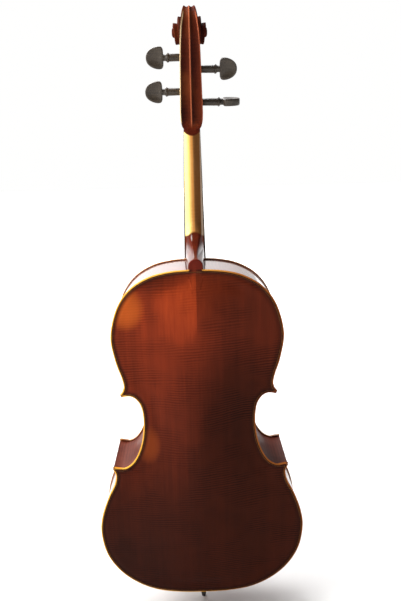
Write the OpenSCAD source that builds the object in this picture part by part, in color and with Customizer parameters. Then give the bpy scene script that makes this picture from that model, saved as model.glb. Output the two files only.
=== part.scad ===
// Full-size violoncello, built up piece by piece.
// Z points up along the instrument, the strings face -Y, the back faces +Y,
// and X = 0 is the centre joint. The tip of the retracted endpin is the origin.

/* [Body] */
// length of the back from edge to edge, button left out
body_len = 755; // [755:1:755]
// depth of the ribs at the bottom end
rib_low = 120; // [114:1:124]
// how much shallower the ribs are at the neck end
rib_taper = 7; // [2:0.5:9]
// thickness of the ribs
rib_t = 1.8; // [1.4:0.1:2.4]
// how far the plates stand out over the ribs
overhang = 3.5; // [2.5:0.1:4.5]
// thickness of both plates at the edge
edge_t = 4.5; // [4:0.1:5.5]
// height of the arch of the back above its edge
arch_back = 26; // [20:0.5:30]
// height of the arch of the top above its edge
arch_top = 24; // [20:0.5:30]
// width of the inlaid purfling
purf_w = 1.4; // [1:0.1:2]
// distance of the purfling from the edge
purf_in = 4.2; // [3.5:0.1:5]

/* [Neck and head] */
// backward lean of the neck and fingerboard in degrees
neck_tilt = 10.5; // [9.5:0.1:11.5]
// height of the fingerboard's glue face over the top's edge
overstand = 21; // [18:0.5:24]
// length of the neck from the body edge to the nut
neck_len = 281; // [276:1:284]
// length of the fingerboard
board_len = 590; // [570:1:610]
// distance of the volute's eye from the body edge, along the neck
eye_z = 440; // [438:1:442]
// radius of the volute at its crest
volute_r = 44; // [40:1:46]

/* [Fittings] */
// distance of the bridge from the bottom edge
bridge_z = 355; // [350:1:360]
// height of the bridge above the top
bridge_h = 88; // [84:1:94]
// radial running clearance of the pegs and of the endpin
run_fit = 0.05; // [0.02:0.01:0.1]
// radius of the endpin rod
rod_r = 4.5; // [4:0.5:5]
// length of the endpin rod
rod_len = 420; // [380:5:480]
// distance of the endpin's tip below the body when pushed home
tip_drop = 68; // [60:1:75]
// which sub-part to draw

/* [Hidden] */

varnish = [0.45, 0.13, 0.04];
maple = [0.80, 0.60, 0.36];
spruce = [0.86, 0.68, 0.42];
ebony = [0.09, 0.07, 0.06];
steel = [0.75, 0.75, 0.78];
brass = [0.80, 0.62, 0.25];

half_d = rib_low / 2;
taper = atan(rib_taper / body_len);
// depth of the groove that the purfling lies in
purf_deep = 1.5;
// lowest level of the neck's tenon in its block
tenon_z = 743;

// ---- outline: smooth curves through a few measured stations, half width and height ----
up_pts = [[-50, 752.5], [0, 755], [50, 752.5], [93, 742], [132, 718], [159.5, 679], [174.3, 622],
  [168, 570], [157.5, 534], [154, 516], [155.8, 505], [162.5, 495.6], [171, 486.8]];
mid_pts = [[173, 482.4], [160, 489], [146, 491.6], [135.8, 488.6], [127.6, 480.8], [121, 468.3],
  [117.6, 450], [117.1, 427], [119.3, 403], [124, 380], [131, 360.5], [139, 345],
  [148.2, 333.8], [159.8, 326.5], [173, 324.4], [187.5, 328.5], [202, 337]];
low_pts = [[194, 332], [187.6, 322], [182.4, 308], [186.6, 286], [203, 252], [218.4, 207],
  [223.2, 165], [214.5, 113], [189.8, 68], [152.4, 33.4], [106.5, 11], [55, 2], [0, 0], [-55, 2]];

function cr(p, i, t) = let (a = p[i - 1], b = p[i], c = p[i + 1], d = p[i + 2])
  0.5 * (2 * b + t * (c - a) + t * t * (2 * a - 5 * b + 4 * c - d)
  + t * t * t * (3 * b - a - 3 * c + d));
// every point of a curve, k steps to a span
function curve(p, k) = concat([for (i = [1:len(p) - 3], j = [0:k - 1]) cr(p, i, j / k)],
  [p[len(p) - 2]]);
function tang(c, i) = let (v = c[min(i + 1, len(c) - 1)] - c[max(i - 1, 0)]) v / norm(v);
// the same curve moved d inwards
function inset(c, d) = [for (i = [0:len(c) - 1]) let (t = tang(c, i)) c[i] + d * [t[1], -t[0]]];
function rev(v) = [for (i = [len(v) - 1:-1:0]) v[i]];
function part_of(c, a, b) = [for (i = [a:b]) c[i]];
// flat band between two insets of one curve
function band(c, d1, d2, a, b) = concat(part_of(inset(c, d1), a, b),
  rev(part_of(inset(c, d2), a, b)));
function flipx(v, s) = [for (p = v) [s * p[0], p[1]]];

k = 3;
up = curve(up_pts, k);
mid = curve(mid_pts, 2);
low = curve(low_pts, k);
nu = len(up) - 1;
nm = len(mid) - 1;
nl = len(low) - 1;
half_line = concat(up, mid, low);
button_r = 14.5;
button_z = 761;
button = concat([for (a = [90:-15:0]) [button_r * cos(a), button_z + button_r * sin(a)]],
  [[button_r, 754.9]]);
half_line_back = concat(button, [for (i = [1:len(half_line) - 1]) half_line[i]]);

// ---- arching ----
function ease(a, b, t) = a + (b - a) * (0.5 - 0.5 * cos(180 * t));
function wide(z) = z < 165 ? ease(160, 216, max(z, 0) / 165)
  : z < 430 ? ease(216, 112, (z - 165) / 265)
  : z < 620 ? ease(112, 168, (z - 430) / 190) : ease(168, 120, min(1, (z - 620) / 135));
function step3(t) = let (u = min(1, max(0, t))) u * u * (3 - 2 * u);
function arch(x, z, top, d) = top * max(0, 1 - pow(abs(z - 385) / 370, 2.6))
  * (0.5 + 0.5 * cos(180 * min(1, abs(x) / wide(z)))) * step3((d - 8) / 38);

// distance of a point from the edge of the plate
function seg_d(p, a, b) = let (v = b - a, t = max(0, min(1, ((p - a) * v) / (v * v))))
  norm(p - a - t * v);
function edge_d(p) = min([for (i = [0:len(half_line) - 2]) seg_d(p, half_line[i], half_line[i + 1])]);

// columns from the edge to the centre line, as a share of the way
cols = [0, 0.035, 0.1, 0.18, 0.28, 0.4, 0.55, 0.7, 0.86, 1];
nc = len(cols);

// height of the centre point each outline point is joined to
function spine(i, n, extra) = let (a = nu + extra, b = a + nm + 1)
  i <= a ? 690 - 145 * i / a
  : i <= b ? 545 - 250 * (i - a) / (b - a) : 295 - 225 * (i - b) / (n - 1 - b);

// one half of an arched plate, outside towards +Y, inner face at Y = 0
module plate(line, high, s, extra) {
  n = len(line);
  grid = [for (i = [0:n - 1]) let (p = line[i], w = [0, spine(i, n, extra)] - p)
    [for (u = cols) let (r = p + u * w) [r[0], r[1], arch(r[0], r[1], high, edge_d(r))]]];
  outer = [for (row = grid, g = row) [s * g[0], edge_t + g[2], g[1]]];
  inner = [for (row = grid, g = row) [s * g[0], 0.93 * g[2], g[1]]];
  m = n * nc;
  quads = concat(
    [for (i = [0:n - 2], j = [0:nc - 2])
      [i * nc + j, i * nc + j + 1, (i + 1) * nc + j + 1, (i + 1) * nc + j]],
    [for (i = [0:n - 2], j = [0:nc - 2])
      [m + i * nc + j, m + (i + 1) * nc + j, m + (i + 1) * nc + j + 1, m + i * nc + j + 1]],
    [for (i = [0:n - 2]) [i * nc, (i + 1) * nc, m + (i + 1) * nc, m + i * nc]],
    [for (i = [0:n - 2]) let (e = nc - 1)
      [i * nc + e, m + i * nc + e, m + (i + 1) * nc + e, (i + 1) * nc + e]],
    [for (j = [0:nc - 2]) [j, m + j, m + j + 1, j + 1]],
    [for (j = [0:nc - 2]) let (e = (n - 1) * nc)
      [e + j, e + j + 1, m + e + j + 1, m + e + j]]);
  tris = [for (q = quads, h = [0, 1]) h == 0 ? [q[0], q[1], q[2]] : [q[0], q[2], q[3]]];
  polyhedron(points = concat(outer, inner),
    faces = s > 0 ? tris : [for (f = tris) [f[2], f[1], f[0]]]);
}

// moves from the body's own height to the part's frame
module lift() { translate([0, 0, tip_drop]) children(); }
// drawn in X-Z, given thickness from y0 to y1
module slab(y0, y1) { translate([0, y1, 0]) rotate([90, 0, 0]) linear_extrude(y1 - y0) children(); }
// the leaning plane of the top: inner face of the top at Y = 0, outside towards -Y
module on_top() { translate([0, -half_d, 0]) rotate([-taper, 0, 0]) children(); }
// turns an outside-up plate round so that it faces the front
module to_front() { rotate([0, 0, 180]) children(); }
// keeps what lies behind the plane of the top
module under_top() {
  difference() {
    children();
    on_top() translate([-300, -60, -60]) cube([600, 60, 900]);
  }
}
// the neck's own frame: fingerboard glue face at Y = 0, body edge at Z = 0
neck_y = -half_d + rib_taper - edge_t - overstand;
module on_neck() { translate([0, neck_y, body_len]) rotate([-neck_tilt, 0, 0]) children(); }
// the foot of the neck as it stands in the body
heel_foot = [[-20.6, -84], [20.6, -84], [14.5, half_d], [-14.5, half_d]];
module tenon(z0, z1) { translate([0, 0, z0]) linear_extrude(z1 - z0) polygon(heel_foot); }

// ---- plates ----
module back_half(s) {
  color(varnish) lift() resize([0, 0, 0]) difference() {
    translate([0, half_d, 0]) plate(half_line_back, arch_back, s, 7);
    slab(half_d + edge_t - purf_deep, half_d + edge_t + 4) purf_line(s);
  }
}
module back_bass() { back_half(-1); }
module back_treble() { mirror([1, 0, 0]) back_bass(); }

// S-shaped sound hole, upper eye near the bridge
f_pts = [[46, 404], [44.8, 412], [51, 419], [60, 418], [67, 403], [71, 378], [74, 354], [77, 330],
  [82, 305], [89, 290], [99, 287], [106.5, 294], [104, 304]];
f_mid = curve(concat([[48, 398]], f_pts, [[99, 310]]), 3);
function f_w(i) = let (t = i / (len(f_mid) - 1)) 1.6 + 2.9 * pow(sin(180 * t), 0.8);
f_slot = concat([for (i = [0:len(f_mid) - 1]) let (t = tang(f_mid, i))
    f_mid[i] + f_w(i) * [t[1], -t[0]]],
  rev([for (i = [0:len(f_mid) - 1]) let (t = tang(f_mid, i)) f_mid[i] - f_w(i) * [t[1], -t[0]]]));
module f_hole(s) {
  slab(-45, 5) polygon(flipx(f_slot, s));
  translate([s * 50, 5, 406]) rotate([90, 0, 0]) cylinder(r = 6, h = 50, $fn = 48);
  translate([s * 97, 5, 303]) rotate([90, 0, 0]) cylinder(r = 8, h = 50, $fn = 48);
}
module top_half(s) {
  color(spruce) lift() resize([0, 0, 0]) difference() {
    on_top() difference() {
      to_front() plate(half_line, arch_top, -s, 0);
      f_hole(s);
      slab(-edge_t - 4, -edge_t + purf_deep) purf_line(s);
    }
    tenon(tenon_z - 0.1, body_len + 5);
    saddle_seat();
  }
}
module top_bass() { top_half(-1); }
module top_treble() { mirror([1, 0, 0]) top_bass(); }

// purfling: a thin band let into the edge
module purf_line(s) {
  polygon(flipx(band(up, purf_in, purf_in + purf_w, 0, nu - 1), s));
  polygon(flipx(band(mid, purf_in, purf_in + purf_w, 1, nm - 1), s));
  polygon(flipx(band(low, purf_in, purf_in + purf_w, 1, nl), s));
}
module purfling() { for (s = [-1, 1]) purf_line(s); }
module back_purfling() {
  color(ebony) lift() slab(half_d + edge_t - purf_deep, half_d + edge_t) purfling();
}
module top_purfling() {
  color(ebony) lift() difference() {
    on_top() slab(-edge_t, -edge_t + purf_deep) purfling();
    tenon(tenon_z - 0.1, body_len + 5);
    saddle_seat();
  }
}

// ---- ribs, linings and blocks ----
rib_in = overhang + rib_t;
module ring(c, a, b, s, d1, d2) {
  lift() under_top() slab(-half_d - 1, half_d) polygon(flipx(band(c, d1, d2, a, b), s));
}
// the waist ribs stop half a step short of the corner tips
mid_rib = concat([(mid[0] + mid[1]) / 2], part_of(mid, 1, nm - 1), [(mid[nm - 1] + mid[nm]) / 2]);
// the outer ribs are trimmed against the inside of the waist ribs
module corner_cut(s) {
  lift() slab(-half_d - 2, half_d + 1) {
    polygon(flipx(band(mid_rib, -4, rib_in + 0.02, 0, 9), s));
    polygon(flipx(band(mid_rib, -4, rib_in + 0.02, nm - 9, nm), s));
  }
}
module rib_upper(s) {
  color(varnish) difference() {
    ring(up, 0, nu - 1, s, overhang, rib_in);
    corner_cut(s);
    lift() tenon(tenon_z - 3, body_len + 5);
    lift() translate([s > 0 ? -30 : 0, -80, 700]) cube([30, 160, 80]);
  }
}
module rib_upper_bass() { rib_upper(-1); }
module rib_upper_treble() { rib_upper(1); }
module rib_c(s) { color(varnish) ring(mid_rib, 0, nm, s, overhang, rib_in); }
module rib_c_bass() { rib_c(-1); }
module rib_c_treble() { rib_c(1); }
module rib_lower(s) {
  color(varnish) difference() {
    ring(low, 1, nl, s, overhang, rib_in);
    corner_cut(s);
    lift() cylinder(r = plug_r0 + 0.2, h = 14, center = true);
  }
}
module rib_lower_bass() { rib_lower(-1); }
module rib_lower_treble() { rib_lower(1); }

lining_w = 2.4;
lining_h = 13;
module lining_line(s) {
  in = rib_in + 0.15;
  polygon(flipx(band(up, in, in + lining_w, 4, nu - 9), s));
  polygon(flipx(band(mid, in, in + lining_w, 7, nm - 8), s));
  polygon(flipx(band(low, in, in + lining_w, 9, nl - 3), s));
}
module back_linings() {
  color(maple) lift() for (s = [-1, 1]) slab(half_d - lining_h, half_d) lining_line(s);
}
module top_linings() {
  color(maple) lift() on_top() for (s = [-1, 1]) slab(0, lining_h) lining_line(s);
}
module neck_block() {
  color(maple) lift() difference() {
    under_top() slab(-half_d, half_d) polygon(concat(
      flipx(rev(part_of(inset(up, rib_in), 1, 3)), -1), part_of(inset(up, rib_in), 0, 3),
      [[66, 728], [40, 706], [-40, 706], [-66, 728]]));
    tenon(tenon_z, body_len + 5);
  }
}
module end_block() {
  color(maple) lift() difference() {
    under_top() slab(-half_d, half_d) polygon(concat(
      part_of(inset(low, rib_in), nl - 3, nl),
      flipx(rev(part_of(inset(low, rib_in), nl - 3, nl - 1)), -1),
      [[-40, 44], [40, 44]]));
    translate([0, 0, -1]) cylinder(r1 = plug_r0, r2 = plug_r1, h = plug_len + 20);
  }
}
module corner_blocks() {
  color(maple) lift() under_top() for (s = [-1, 1]) slab(-half_d, half_d) {
    polygon(flipx(concat(part_of(inset(up, rib_in), nu - 9, nu - 4),
      part_of(inset(mid, rib_in), 4, 7)), s));
    polygon(flipx(concat(part_of(inset(mid, rib_in), nm - 8, nm - 4),
      part_of(inset(low, rib_in), 4, 9)), s));
  }
}

// the inside of the top along a line, for what is glued to it
function in_top(x, z) = 0.93 * arch(x, z, arch_top, 60);
bar_x = -38;
bar_w = 11;
bar_z0 = 110;
bar_z1 = 650;
bar_low = 8;
bar_swell = 16;
// the bar's glue face follows the lower of its two edges, clear of the arch between them
function bar_glue(z) = min(-in_top(bar_x - bar_w / 2, z), -in_top(bar_x + bar_w / 2, z)) + 3.3;
function bar_foot(z) = bar_low + bar_swell * sin(180 * (z - bar_z0) / (bar_z1 - bar_z0));
module bass_bar() {
  color(spruce) lift() on_top() translate([bar_x - bar_w / 2, 0, 0]) rotate([90, 0, 90])
    linear_extrude(bar_w) polygon(concat(
      [for (z = [bar_z0:30:bar_z1]) [bar_glue(z), z]],
      [for (z = [bar_z1:-60:bar_z0]) [bar_foot(z) - in_top(bar_x, z), z]]));
}
// the post stands behind the treble foot of the bridge, fitted between the plates
post_x = 30;
post_z = 340;
post_r = 5.5;
module sound_post() {
  color(spruce) lift() translate([post_x, -half_d - in_top(post_x + 6, post_z + 6) + 4.4, post_z])
    rotate([-90, 0, 0])
    cylinder(r = post_r, h = rib_low + in_top(post_x + 6, post_z + 6)
      + 0.93 * arch(post_x + 6, post_z + 6, arch_back, 60) - 5.4, $fn = 48);
}

// ---- neck, heel, pegbox and scroll, one piece of maple ----
function fall(z, a, b) = pow(1 - min(1, max(0, (z - a) / (b - a))), 3.2);
function neck_front(z) = neck_y + (z - body_len) * tan(neck_tilt);
function neck_back(z) = neck_front(z) + 20.5 + (half_d - neck_front(z) - 20.5)
  * (z <= 773 ? 1 : fall(z, 773, 862));
function neck_w(z) = 20.6 - 5 * (z - body_len) / 275;
function back_w(z) = z <= button_z ? button_r
  : z < 775 ? sqrt(pow(button_r, 2) - pow(z - button_z, 2)) : 4 + 8 * (z - 775) / 60;
neck_cut = [755, 758, 761, 765, 769, 772, 774, 778, 783, 791, 797, 804, 813, 824, 838, 858, 890,
  950, 1026];
neck_ang = [0, 8, 18, 30, 44, 58, 70, 80, 90];
// one level slice through the neck: flat in front, rounded behind
function neck_slice(z) = let (w = neck_w(z), b = min(back_w(z), w), f = neck_front(z),
    e = neck_back(z), n = 2 + 9 * (1 - step3((z - 772) / 60)))
  let (half = [for (a = neck_ang) let (v = pow(sin(a), 2 / n), h = pow(cos(a), 2 / n))
      [(w + (b - w) * v * (1 - step3((z - 780) / 60))) * h, f + (e - f) * v, z]])
  concat(half, [for (i = [len(half) - 2:-1:0]) [-half[i][0], half[i][1], z]]);
module neck_loft() {
  rings = [for (z = neck_cut) neck_slice(z)];
  m = len(rings[0]);
  r = len(rings);
  polyhedron(points = [for (q = rings, p = q) p],
    faces = concat([[for (i = [0:m - 1]) i]], [[for (i = [m - 1:-1:0]) (r - 1) * m + i]],
      [for (a = [0:r - 2], i = [0:m - 1], h = [0, 1]) let (j = (i + 1) % m)
        h == 0 ? [a * m + i, (a + 1) * m + i, (a + 1) * m + j]
        : [a * m + i, (a + 1) * m + j, a * m + j]]));
}
eye_y = 8;
function spiral(a) = volute_r * exp(-0.0014 * a);
function turn(a0, a1) = [for (a = [a0:9:a1]) [eye_y - spiral(a) * sin(a), eye_z + spiral(a) * cos(a)]];
module sideways(w) { translate([-w, 0, 0]) rotate([90, 0, 90]) linear_extrude(2 * w) children(); }
head_side = [[0, 268], [0, 290], [2, 340], [5, 396], [14, 412], [30, 428], [50, 428],
  [53.8, 415.6], [50.5, 405], [47.8, 392], [46.3, 378], [45.8, 362], [46.5, 345], [48, 330],
  [49.3, 316], [49.8, 304], [48.6, 294], [45, 286.5], [39.5, 281], [32, 277], [25, 273],
  [21.5, 268]];
head_front = [[15.8, 262], [17.5, 280], [20, 293], [20.5, 330], [19, 395], [17, 437], [13.5, 464],
  [9.5, 490]];
cavity_side = [[-12, 295], [37, 295], [39, 305], [35, 340], [34, 372], [35, 399], [32.5, 408.5],
  [22, 411], [-12, 404]];
peg_z = [320, 378, 399, 340];
peg_y = [20, 21, 24, 25];
peg_s = [-1, -1, 1, 1];
peg_big = 7.0;
peg_end = 5.7;
peg_from = -24;
peg_long = 66;
// the thin end is trimmed level with the far cheek
peg_tip = -19.3;
peg_tip_r = peg_end + (peg_big - peg_end) * (peg_tip - peg_from) / peg_long;
// tapered shaft through the box, thick end towards the head
module peg_cone(i, extra) {
  translate([0, peg_y[i], peg_z[i]]) rotate([0, 90 * peg_s[i], 0]) translate([0, 0, peg_from])
    cylinder(r1 = peg_end + extra, r2 = peg_big + extra, h = peg_long, $fn = 64);
}
module neck() {
  color(maple) lift() {
    tenon_low();
    neck_loft();
    on_neck() difference() {
      union() {
        intersection() {
          sideways(40) union() {
            polygon(head_side);
            polygon(turn(-118, 242));
          }
          slab(-60, 80) polygon(concat(head_front, rev(flipx(head_front, -1))));
        }
        sideways(20) polygon(turn(168, 516));
        sideways(26) polygon(turn(396, 744));
        translate([-32, eye_y, eye_z]) rotate([0, 90, 0]) cylinder(r = 11, h = 64, $fn = 64);
      }
      intersection() {
        sideways(20) polygon(cavity_side);
        slab(-60, 80) polygon([[13, 290], [11, 345], [9, 410], [-9, 410], [-11, 345], [-13, 290]]);
      }
      for (i = [0:3]) peg_cone(i, run_fit);
    }
  }
}
// the foot of the neck inside the block, up to where the loft begins
module tenon_low() {
  difference() {
    tenon(tenon_z, body_len);
    translate([0, neck_y - 30, 700]) rotate([-neck_tilt, 0, 0]) translate([-40, -60, -20])
      cube([80, 60 + 30 * cos(neck_tilt) - 55 * sin(neck_tilt), 120]);
  }
}

module fingerboard() {
  color(ebony) lift() on_neck() difference() {
    intersection() {
      slab(-30, 0) polygon([[-16, neck_len], [16, neck_len], [31.5, neck_len - board_len],
        [-31.5, neck_len - board_len]]);
      translate([0, -9.5 + 62, neck_len]) rotate([180 - 0.6, 0, 0]) translate([0, 0, -20])
        cylinder(r = 62, h = board_len + 60, $fn = 180);
    }
    translate([0, 14, -18]) rotate([180, 0, 0]) cylinder(r = 20, h = 400, $fn = 90);
  }
}

// ---- strings: C, G, D, A from the bass side to the treble side ----
str_r = [0.9, 0.75, 0.6, 0.5];
nut_x = [-11, -3.8, 3.8, 11];
nut_y = [-11.2, -12, -12, -11];
saddle_y = -half_d - 9;
bridge_x = [-24, -8.2, 8.2, 24];
bridge_drop = [3.2, 0, 1.2, 6.2];
function topy(z) = -half_d + z * tan(taper);
bridge_top_y = topy(bridge_z) - edge_t - arch_top - bridge_h;
wind_x = [-5, -3.6, 3.6, 5];
wind_r = 6.3;
function from_neck(p) = [p[0], neck_y + p[1] * cos(neck_tilt) + p[2] * sin(neck_tilt),
  body_len - p[1] * sin(neck_tilt) + p[2] * cos(neck_tilt)];
function at_nut(i) = from_neck([nut_x[i], nut_y[i], neck_len + 3]);
function at_bridge(i) = [bridge_x[i], bridge_top_y + bridge_drop[i], bridge_z];
function at_peg(i) = from_neck([wind_x[i], peg_y[i] - wind_r - 2 * str_r[i] - str_r[i] - 0.35,
  peg_z[i]]);
tail_tilt = 16.5;
tail_y = -half_d - 13;
tail_z = 4;
tail_len = 236;
function from_tail(p) = [p[0], tail_y + p[1] * cos(tail_tilt) - p[2] * sin(tail_tilt),
  tail_z + p[1] * sin(tail_tilt) + p[2] * cos(tail_tilt)];
tail_x = [-21, -7, 7, 21];
pivot_z = 230;
function pivot_y(i) = abs(tail_x[i]) > 10 ? -5.4 : -8.8;
function at_tail(i) = from_tail([tail_x[i], pivot_y(i) - 3.2, pivot_z + 17.7]);
module rod(a, b, r) {
  d = b - a;
  l = norm(d);
  translate(a) rotate([0, acos(d[2] / l), atan2(d[1], d[0])]) cylinder(r = r, h = l, $fn = 24);
}
module string_run(i, r) {
  rod(at_tail(i), at_bridge(i), r);
  rod(at_bridge(i), at_nut(i), r);
  rod(at_nut(i), at_peg(i), r);
  for (p = [at_bridge(i), at_nut(i), at_peg(i)]) translate(p) sphere(r = r + 0.04, $fn = 24);
}
module string_n(i) { color(steel) lift() string_run(i, str_r[i]); }
module string_c() { string_n(0); }
module string_g() { string_n(1); }
module string_d() { string_n(2); }
module string_a() { string_n(3); }
module winding(i) {
  color(steel) lift() on_neck() translate([wind_x[i], peg_y[i], peg_z[i]]) rotate([0, 90, 0])
    rotate_extrude($fn = 64) for (j = [-1.5:1.5])
      translate([wind_r + str_r[i] + 0.02, j * 2 * str_r[i]]) circle(r = str_r[i] + 0.01, $fn = 24);
}
module winding_c() { winding(0); }
module winding_g() { winding(1); }
module winding_d() { winding(2); }
module winding_a() { winding(3); }

module nut() {
  color(ebony) lift() on_neck() difference() {
    intersection() {
      slab(-16, 0) polygon([[-16, neck_len], [16, neck_len], [16.4, neck_len + 6],
        [-16.4, neck_len + 6]]);
      translate([0, -12.3 + 62, neck_len - 1]) cylinder(r = 62, h = 9, $fn = 180);
    }
    for (i = [0:3]) {
      translate([nut_x[i], nut_y[i], neck_len - 5]) cylinder(r = str_r[i] + 0.15, h = 16, $fn = 24);
      translate([nut_x[i] - str_r[i] - 0.15, nut_y[i] - 6, neck_len - 5])
        cube([2 * str_r[i] + 0.3, 6, 16]);
      translate([nut_x[i], nut_y[i], neck_len + 3]) rotate([-28, 0, 0])
        translate([-str_r[i] - 0.15, -4, 0]) cube([2 * str_r[i] + 0.3, 4 + str_r[i] + 0.15, 16]);
    }
  }
}

// the notch in the edge of the top that the saddle sits in
module saddle_seat() { translate([-18.05, -half_d - 30, -1]) cube([36.1, 40, 9.05]); }
module saddle() {
  color(ebony) lift() difference() {
    translate([-18, -half_d - edge_t - 8, -0.4]) cube([36, edge_t + 8, 8.4]);
    translate([-30, -half_d - edge_t - 8, -0.4]) rotate([35, 0, 0]) translate([0, -12, -6])
      cube([60, 12, 30]);
    on_top() translate([-40, 0, -20]) cube([80, 30, 60]);
    gut_run(1.62);
  }
}

// ---- bridge ----
function foot_y(x) = -edge_t - arch(x, bridge_z, arch_top, 60) - 0.06;
function crown_y(x) = foot_y(0) - bridge_h + 62 - sqrt(62 * 62 - x * x) + 0.0625 * x;
module bridge_shape() {
  polygon(concat(
    [for (x = [-31:3.1:31]) [x, -crown_y(x)]],
    [[32, -foot_y(0) + 70], [27, -foot_y(0) + 58], [30, -foot_y(0) + 46], [37, -foot_y(0) + 36],
     [36, -foot_y(0) + 24], [39, -foot_y(0) + 8]],
    [for (x = [46, 40, 34, 28, 22]) [x, -foot_y(x)]],
    [[21, -foot_y(22) + 6], [25, -foot_y(0) + 18], [22, -foot_y(0) + 30], [10, -foot_y(0) + 38],
     [-10, -foot_y(0) + 38], [-22, -foot_y(0) + 30], [-25, -foot_y(0) + 18],
     [-21, -foot_y(22) + 6]],
    [for (x = [-22, -28, -34, -40, -46]) [x, -foot_y(x)]],
    [[-39, -foot_y(0) + 8], [-36, -foot_y(0) + 24], [-37, -foot_y(0) + 36],
     [-30, -foot_y(0) + 46], [-27, -foot_y(0) + 58], [-32, -foot_y(0) + 70]]));
}
module bridge() {
  color(maple) lift() difference() {
    on_top() translate([0, 0, bridge_z / cos(taper)]) intersection() {
      difference() {
        translate([0, 0, 8]) rotate([180, 0, 0]) linear_extrude(16) bridge_shape();
        for (s = [-1, 1]) {
          translate([s * 27, foot_y(0) - 51, -20]) cylinder(r = 6, h = 40, $fn = 48);
          translate([s * 6.5, foot_y(0) - 60, -20]) cylinder(r = 6.5, h = 40, $fn = 48);
        }
        translate([0, foot_y(0) - 56, -20]) rotate([0, 0, 45]) translate([-6.5, -6.5, 0])
          cube([13, 13, 40]);
      }
      rotate([90, 0, 90]) translate([0, 0, -60]) linear_extrude(120)
        polygon([[-20, 5.5], [-20, -5.5], [foot_y(0) - 92, -1.2], [foot_y(0) - 92, 1.6]]);
    }
    for (i = [0:3]) string_run(i, str_r[i] + 0.15);
  }
}
// ---- pegs ----
peg_turn = [90, 0, 0, 0];
peg_head = [60, 54, 49, 53.5];
module peg(i) {
  h = peg_head[i];
  color(ebony) lift() on_neck() translate([0, peg_y[i], peg_z[i]]) rotate([peg_turn[i], 0, 0])
    rotate([0, 90 * peg_s[i], 0]) {
      translate([0, 0, peg_tip])
        cylinder(r1 = peg_tip_r, r2 = peg_big, h = peg_from + peg_long - peg_tip, $fn = 64);
      rotate_extrude($fn = 64) polygon([[0, 41], [7, 41], [7, h - 9], [8.2, h - 8.4],
        [9.3, h - 7], [8.2, h - 5.6], [6.2, h - 5], [5.4, h - 3], [6, h + 1], [0, h + 3]]);
      difference() {
        intersection() {
          translate([0, 8, h + 12]) rotate([90, 0, 0]) cylinder(r = 20, h = 16, $fn = 96);
          translate([-30, -30, h]) cube([60, 60, 40]);
          translate([0, 0, h + 10]) sphere(r = 22.5, $fn = 96);
        }
        for (s = [-1, 1]) translate([0, s * 41, h + 13]) sphere(r = 37.5, $fn = 96);
      }
    }
}
module peg_c() { peg(0); }
module peg_g() { peg(1); }
module peg_d() { peg(2); }
module peg_a() { peg(3); }

// ---- tailpiece with four tuners ----
module on_tail() { translate([0, tail_y, tail_z]) rotate([tail_tilt, 0, 0]) children(); }
screw_z = pivot_z - 18;
screw_r = 2;
knob_r = 5;
module tailpiece() {
  color(ebony) lift() on_tail() difference() {
    intersection() {
      slab(-14, 2) polygon([[-14, 5], [-17, 8], [-20, 60], [-27, 180], [-29.5, 228],
        [-26, tail_len], [26, tail_len], [29.5, 228], [27, 180], [20, 60], [17, 8], [14, 5]]);
      translate([0, 60 - 12, -5]) cylinder(r = 60, h = tail_len + 20, $fn = 180);
    }
    translate([0, 58 - 6.5, 16]) cylinder(r = 58, h = tail_len + 20, $fn = 180);
    for (s = [-1, 1]) translate([s * 7, -5, -5]) cylinder(r = 1.6, h = 40, $fn = 24);
    for (i = [0:3]) translate([tail_x[i], 0, 0]) {
      translate([0, 20, screw_z]) rotate([90, 0, 0]) cylinder(r = screw_r + 0.06, h = 60, $fn = 32);
      translate([-2.2, -20, pivot_z - 5]) cube([4.4, 40, 30]);
      translate([-4.5, pivot_y(i), pivot_z]) rotate([0, 90, 0])
        cylinder(r = 1.06, h = 9, $fn = 32);
    }
  }
}
// bent lever on its own trunnion, a fork for the string at the top
module lever(i) {
  y0 = pivot_y(i);
  color(steel) lift() on_tail() translate([tail_x[i], y0, pivot_z]) difference() {
    union() {
      translate([-1.8, 0, 0]) rotate([90, 0, 90]) linear_extrude(3.6)
        polygon([[-0.8, -2.4], [-0.8, 17], [2.4, 17], [2.4, 1.5], [10.5, -3.5], [12, -5],
          [12, -22], [9, -22], [9, -6.2], [2, -2.6]]);
      translate([-4, 0, 0]) rotate([0, 90, 0]) cylinder(r = 1, h = 8, $fn = 32);
      translate([-4, -6, 14]) cube([8, 8.4, 3]);
    }
    translate([-str_r[i] - 0.25, -7, 13]) cube([2 * str_r[i] + 0.5, 5.2, 5]);
  }
}
module lever_c() { lever(0); }
module lever_g() { lever(1); }
module lever_d() { lever(2); }
module lever_a() { lever(3); }
// the string's ball end and the short stub that the fork holds
module ball(i) {
  color(brass) lift() on_tail() translate([tail_x[i], pivot_y(i) - 3.2, pivot_z + 11.7]) {
    sphere(r = 2.2, $fn = 48);
    cylinder(r = str_r[i], h = 5.5, $fn = 24);
  }
}
module ball_c() { ball(0); }
module ball_g() { ball(1); }
module ball_d() { ball(2); }
module ball_a() { ball(3); }
module screw(i) {
  color(brass) lift() on_tail() translate([tail_x[i], pivot_y(i) + 8.7, screw_z])
    rotate([90, 0, 0]) cylinder(r = screw_r, h = 22.5, $fn = 32);
}
module screw_c() { screw(0); }
module screw_g() { screw(1); }
module screw_d() { screw(2); }
module screw_a() { screw(3); }
module knob(i) {
  color(brass) lift() on_tail() translate([tail_x[i], pivot_y(i) - 8.8, screw_z])
    rotate([90, 0, 0]) difference() {
      cylinder(r = knob_r, h = 7, $fn = 64);
      translate([0, 0, -1]) cylinder(r = screw_r + 0.04, h = 6.2, $fn = 32);
      for (a = [0:30:330]) rotate([0, 0, a]) translate([knob_r + 0.3, 0, -1])
        cylinder(r = 0.7, h = 9, $fn = 16);
    }
}
module knob_c() { knob(0); }
module knob_g() { knob(1); }
module knob_d() { knob(2); }
module knob_a() { knob(3); }

// ---- endpin ----
plug_r0 = 13;
plug_r1 = 12;
plug_len = 42;
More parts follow.
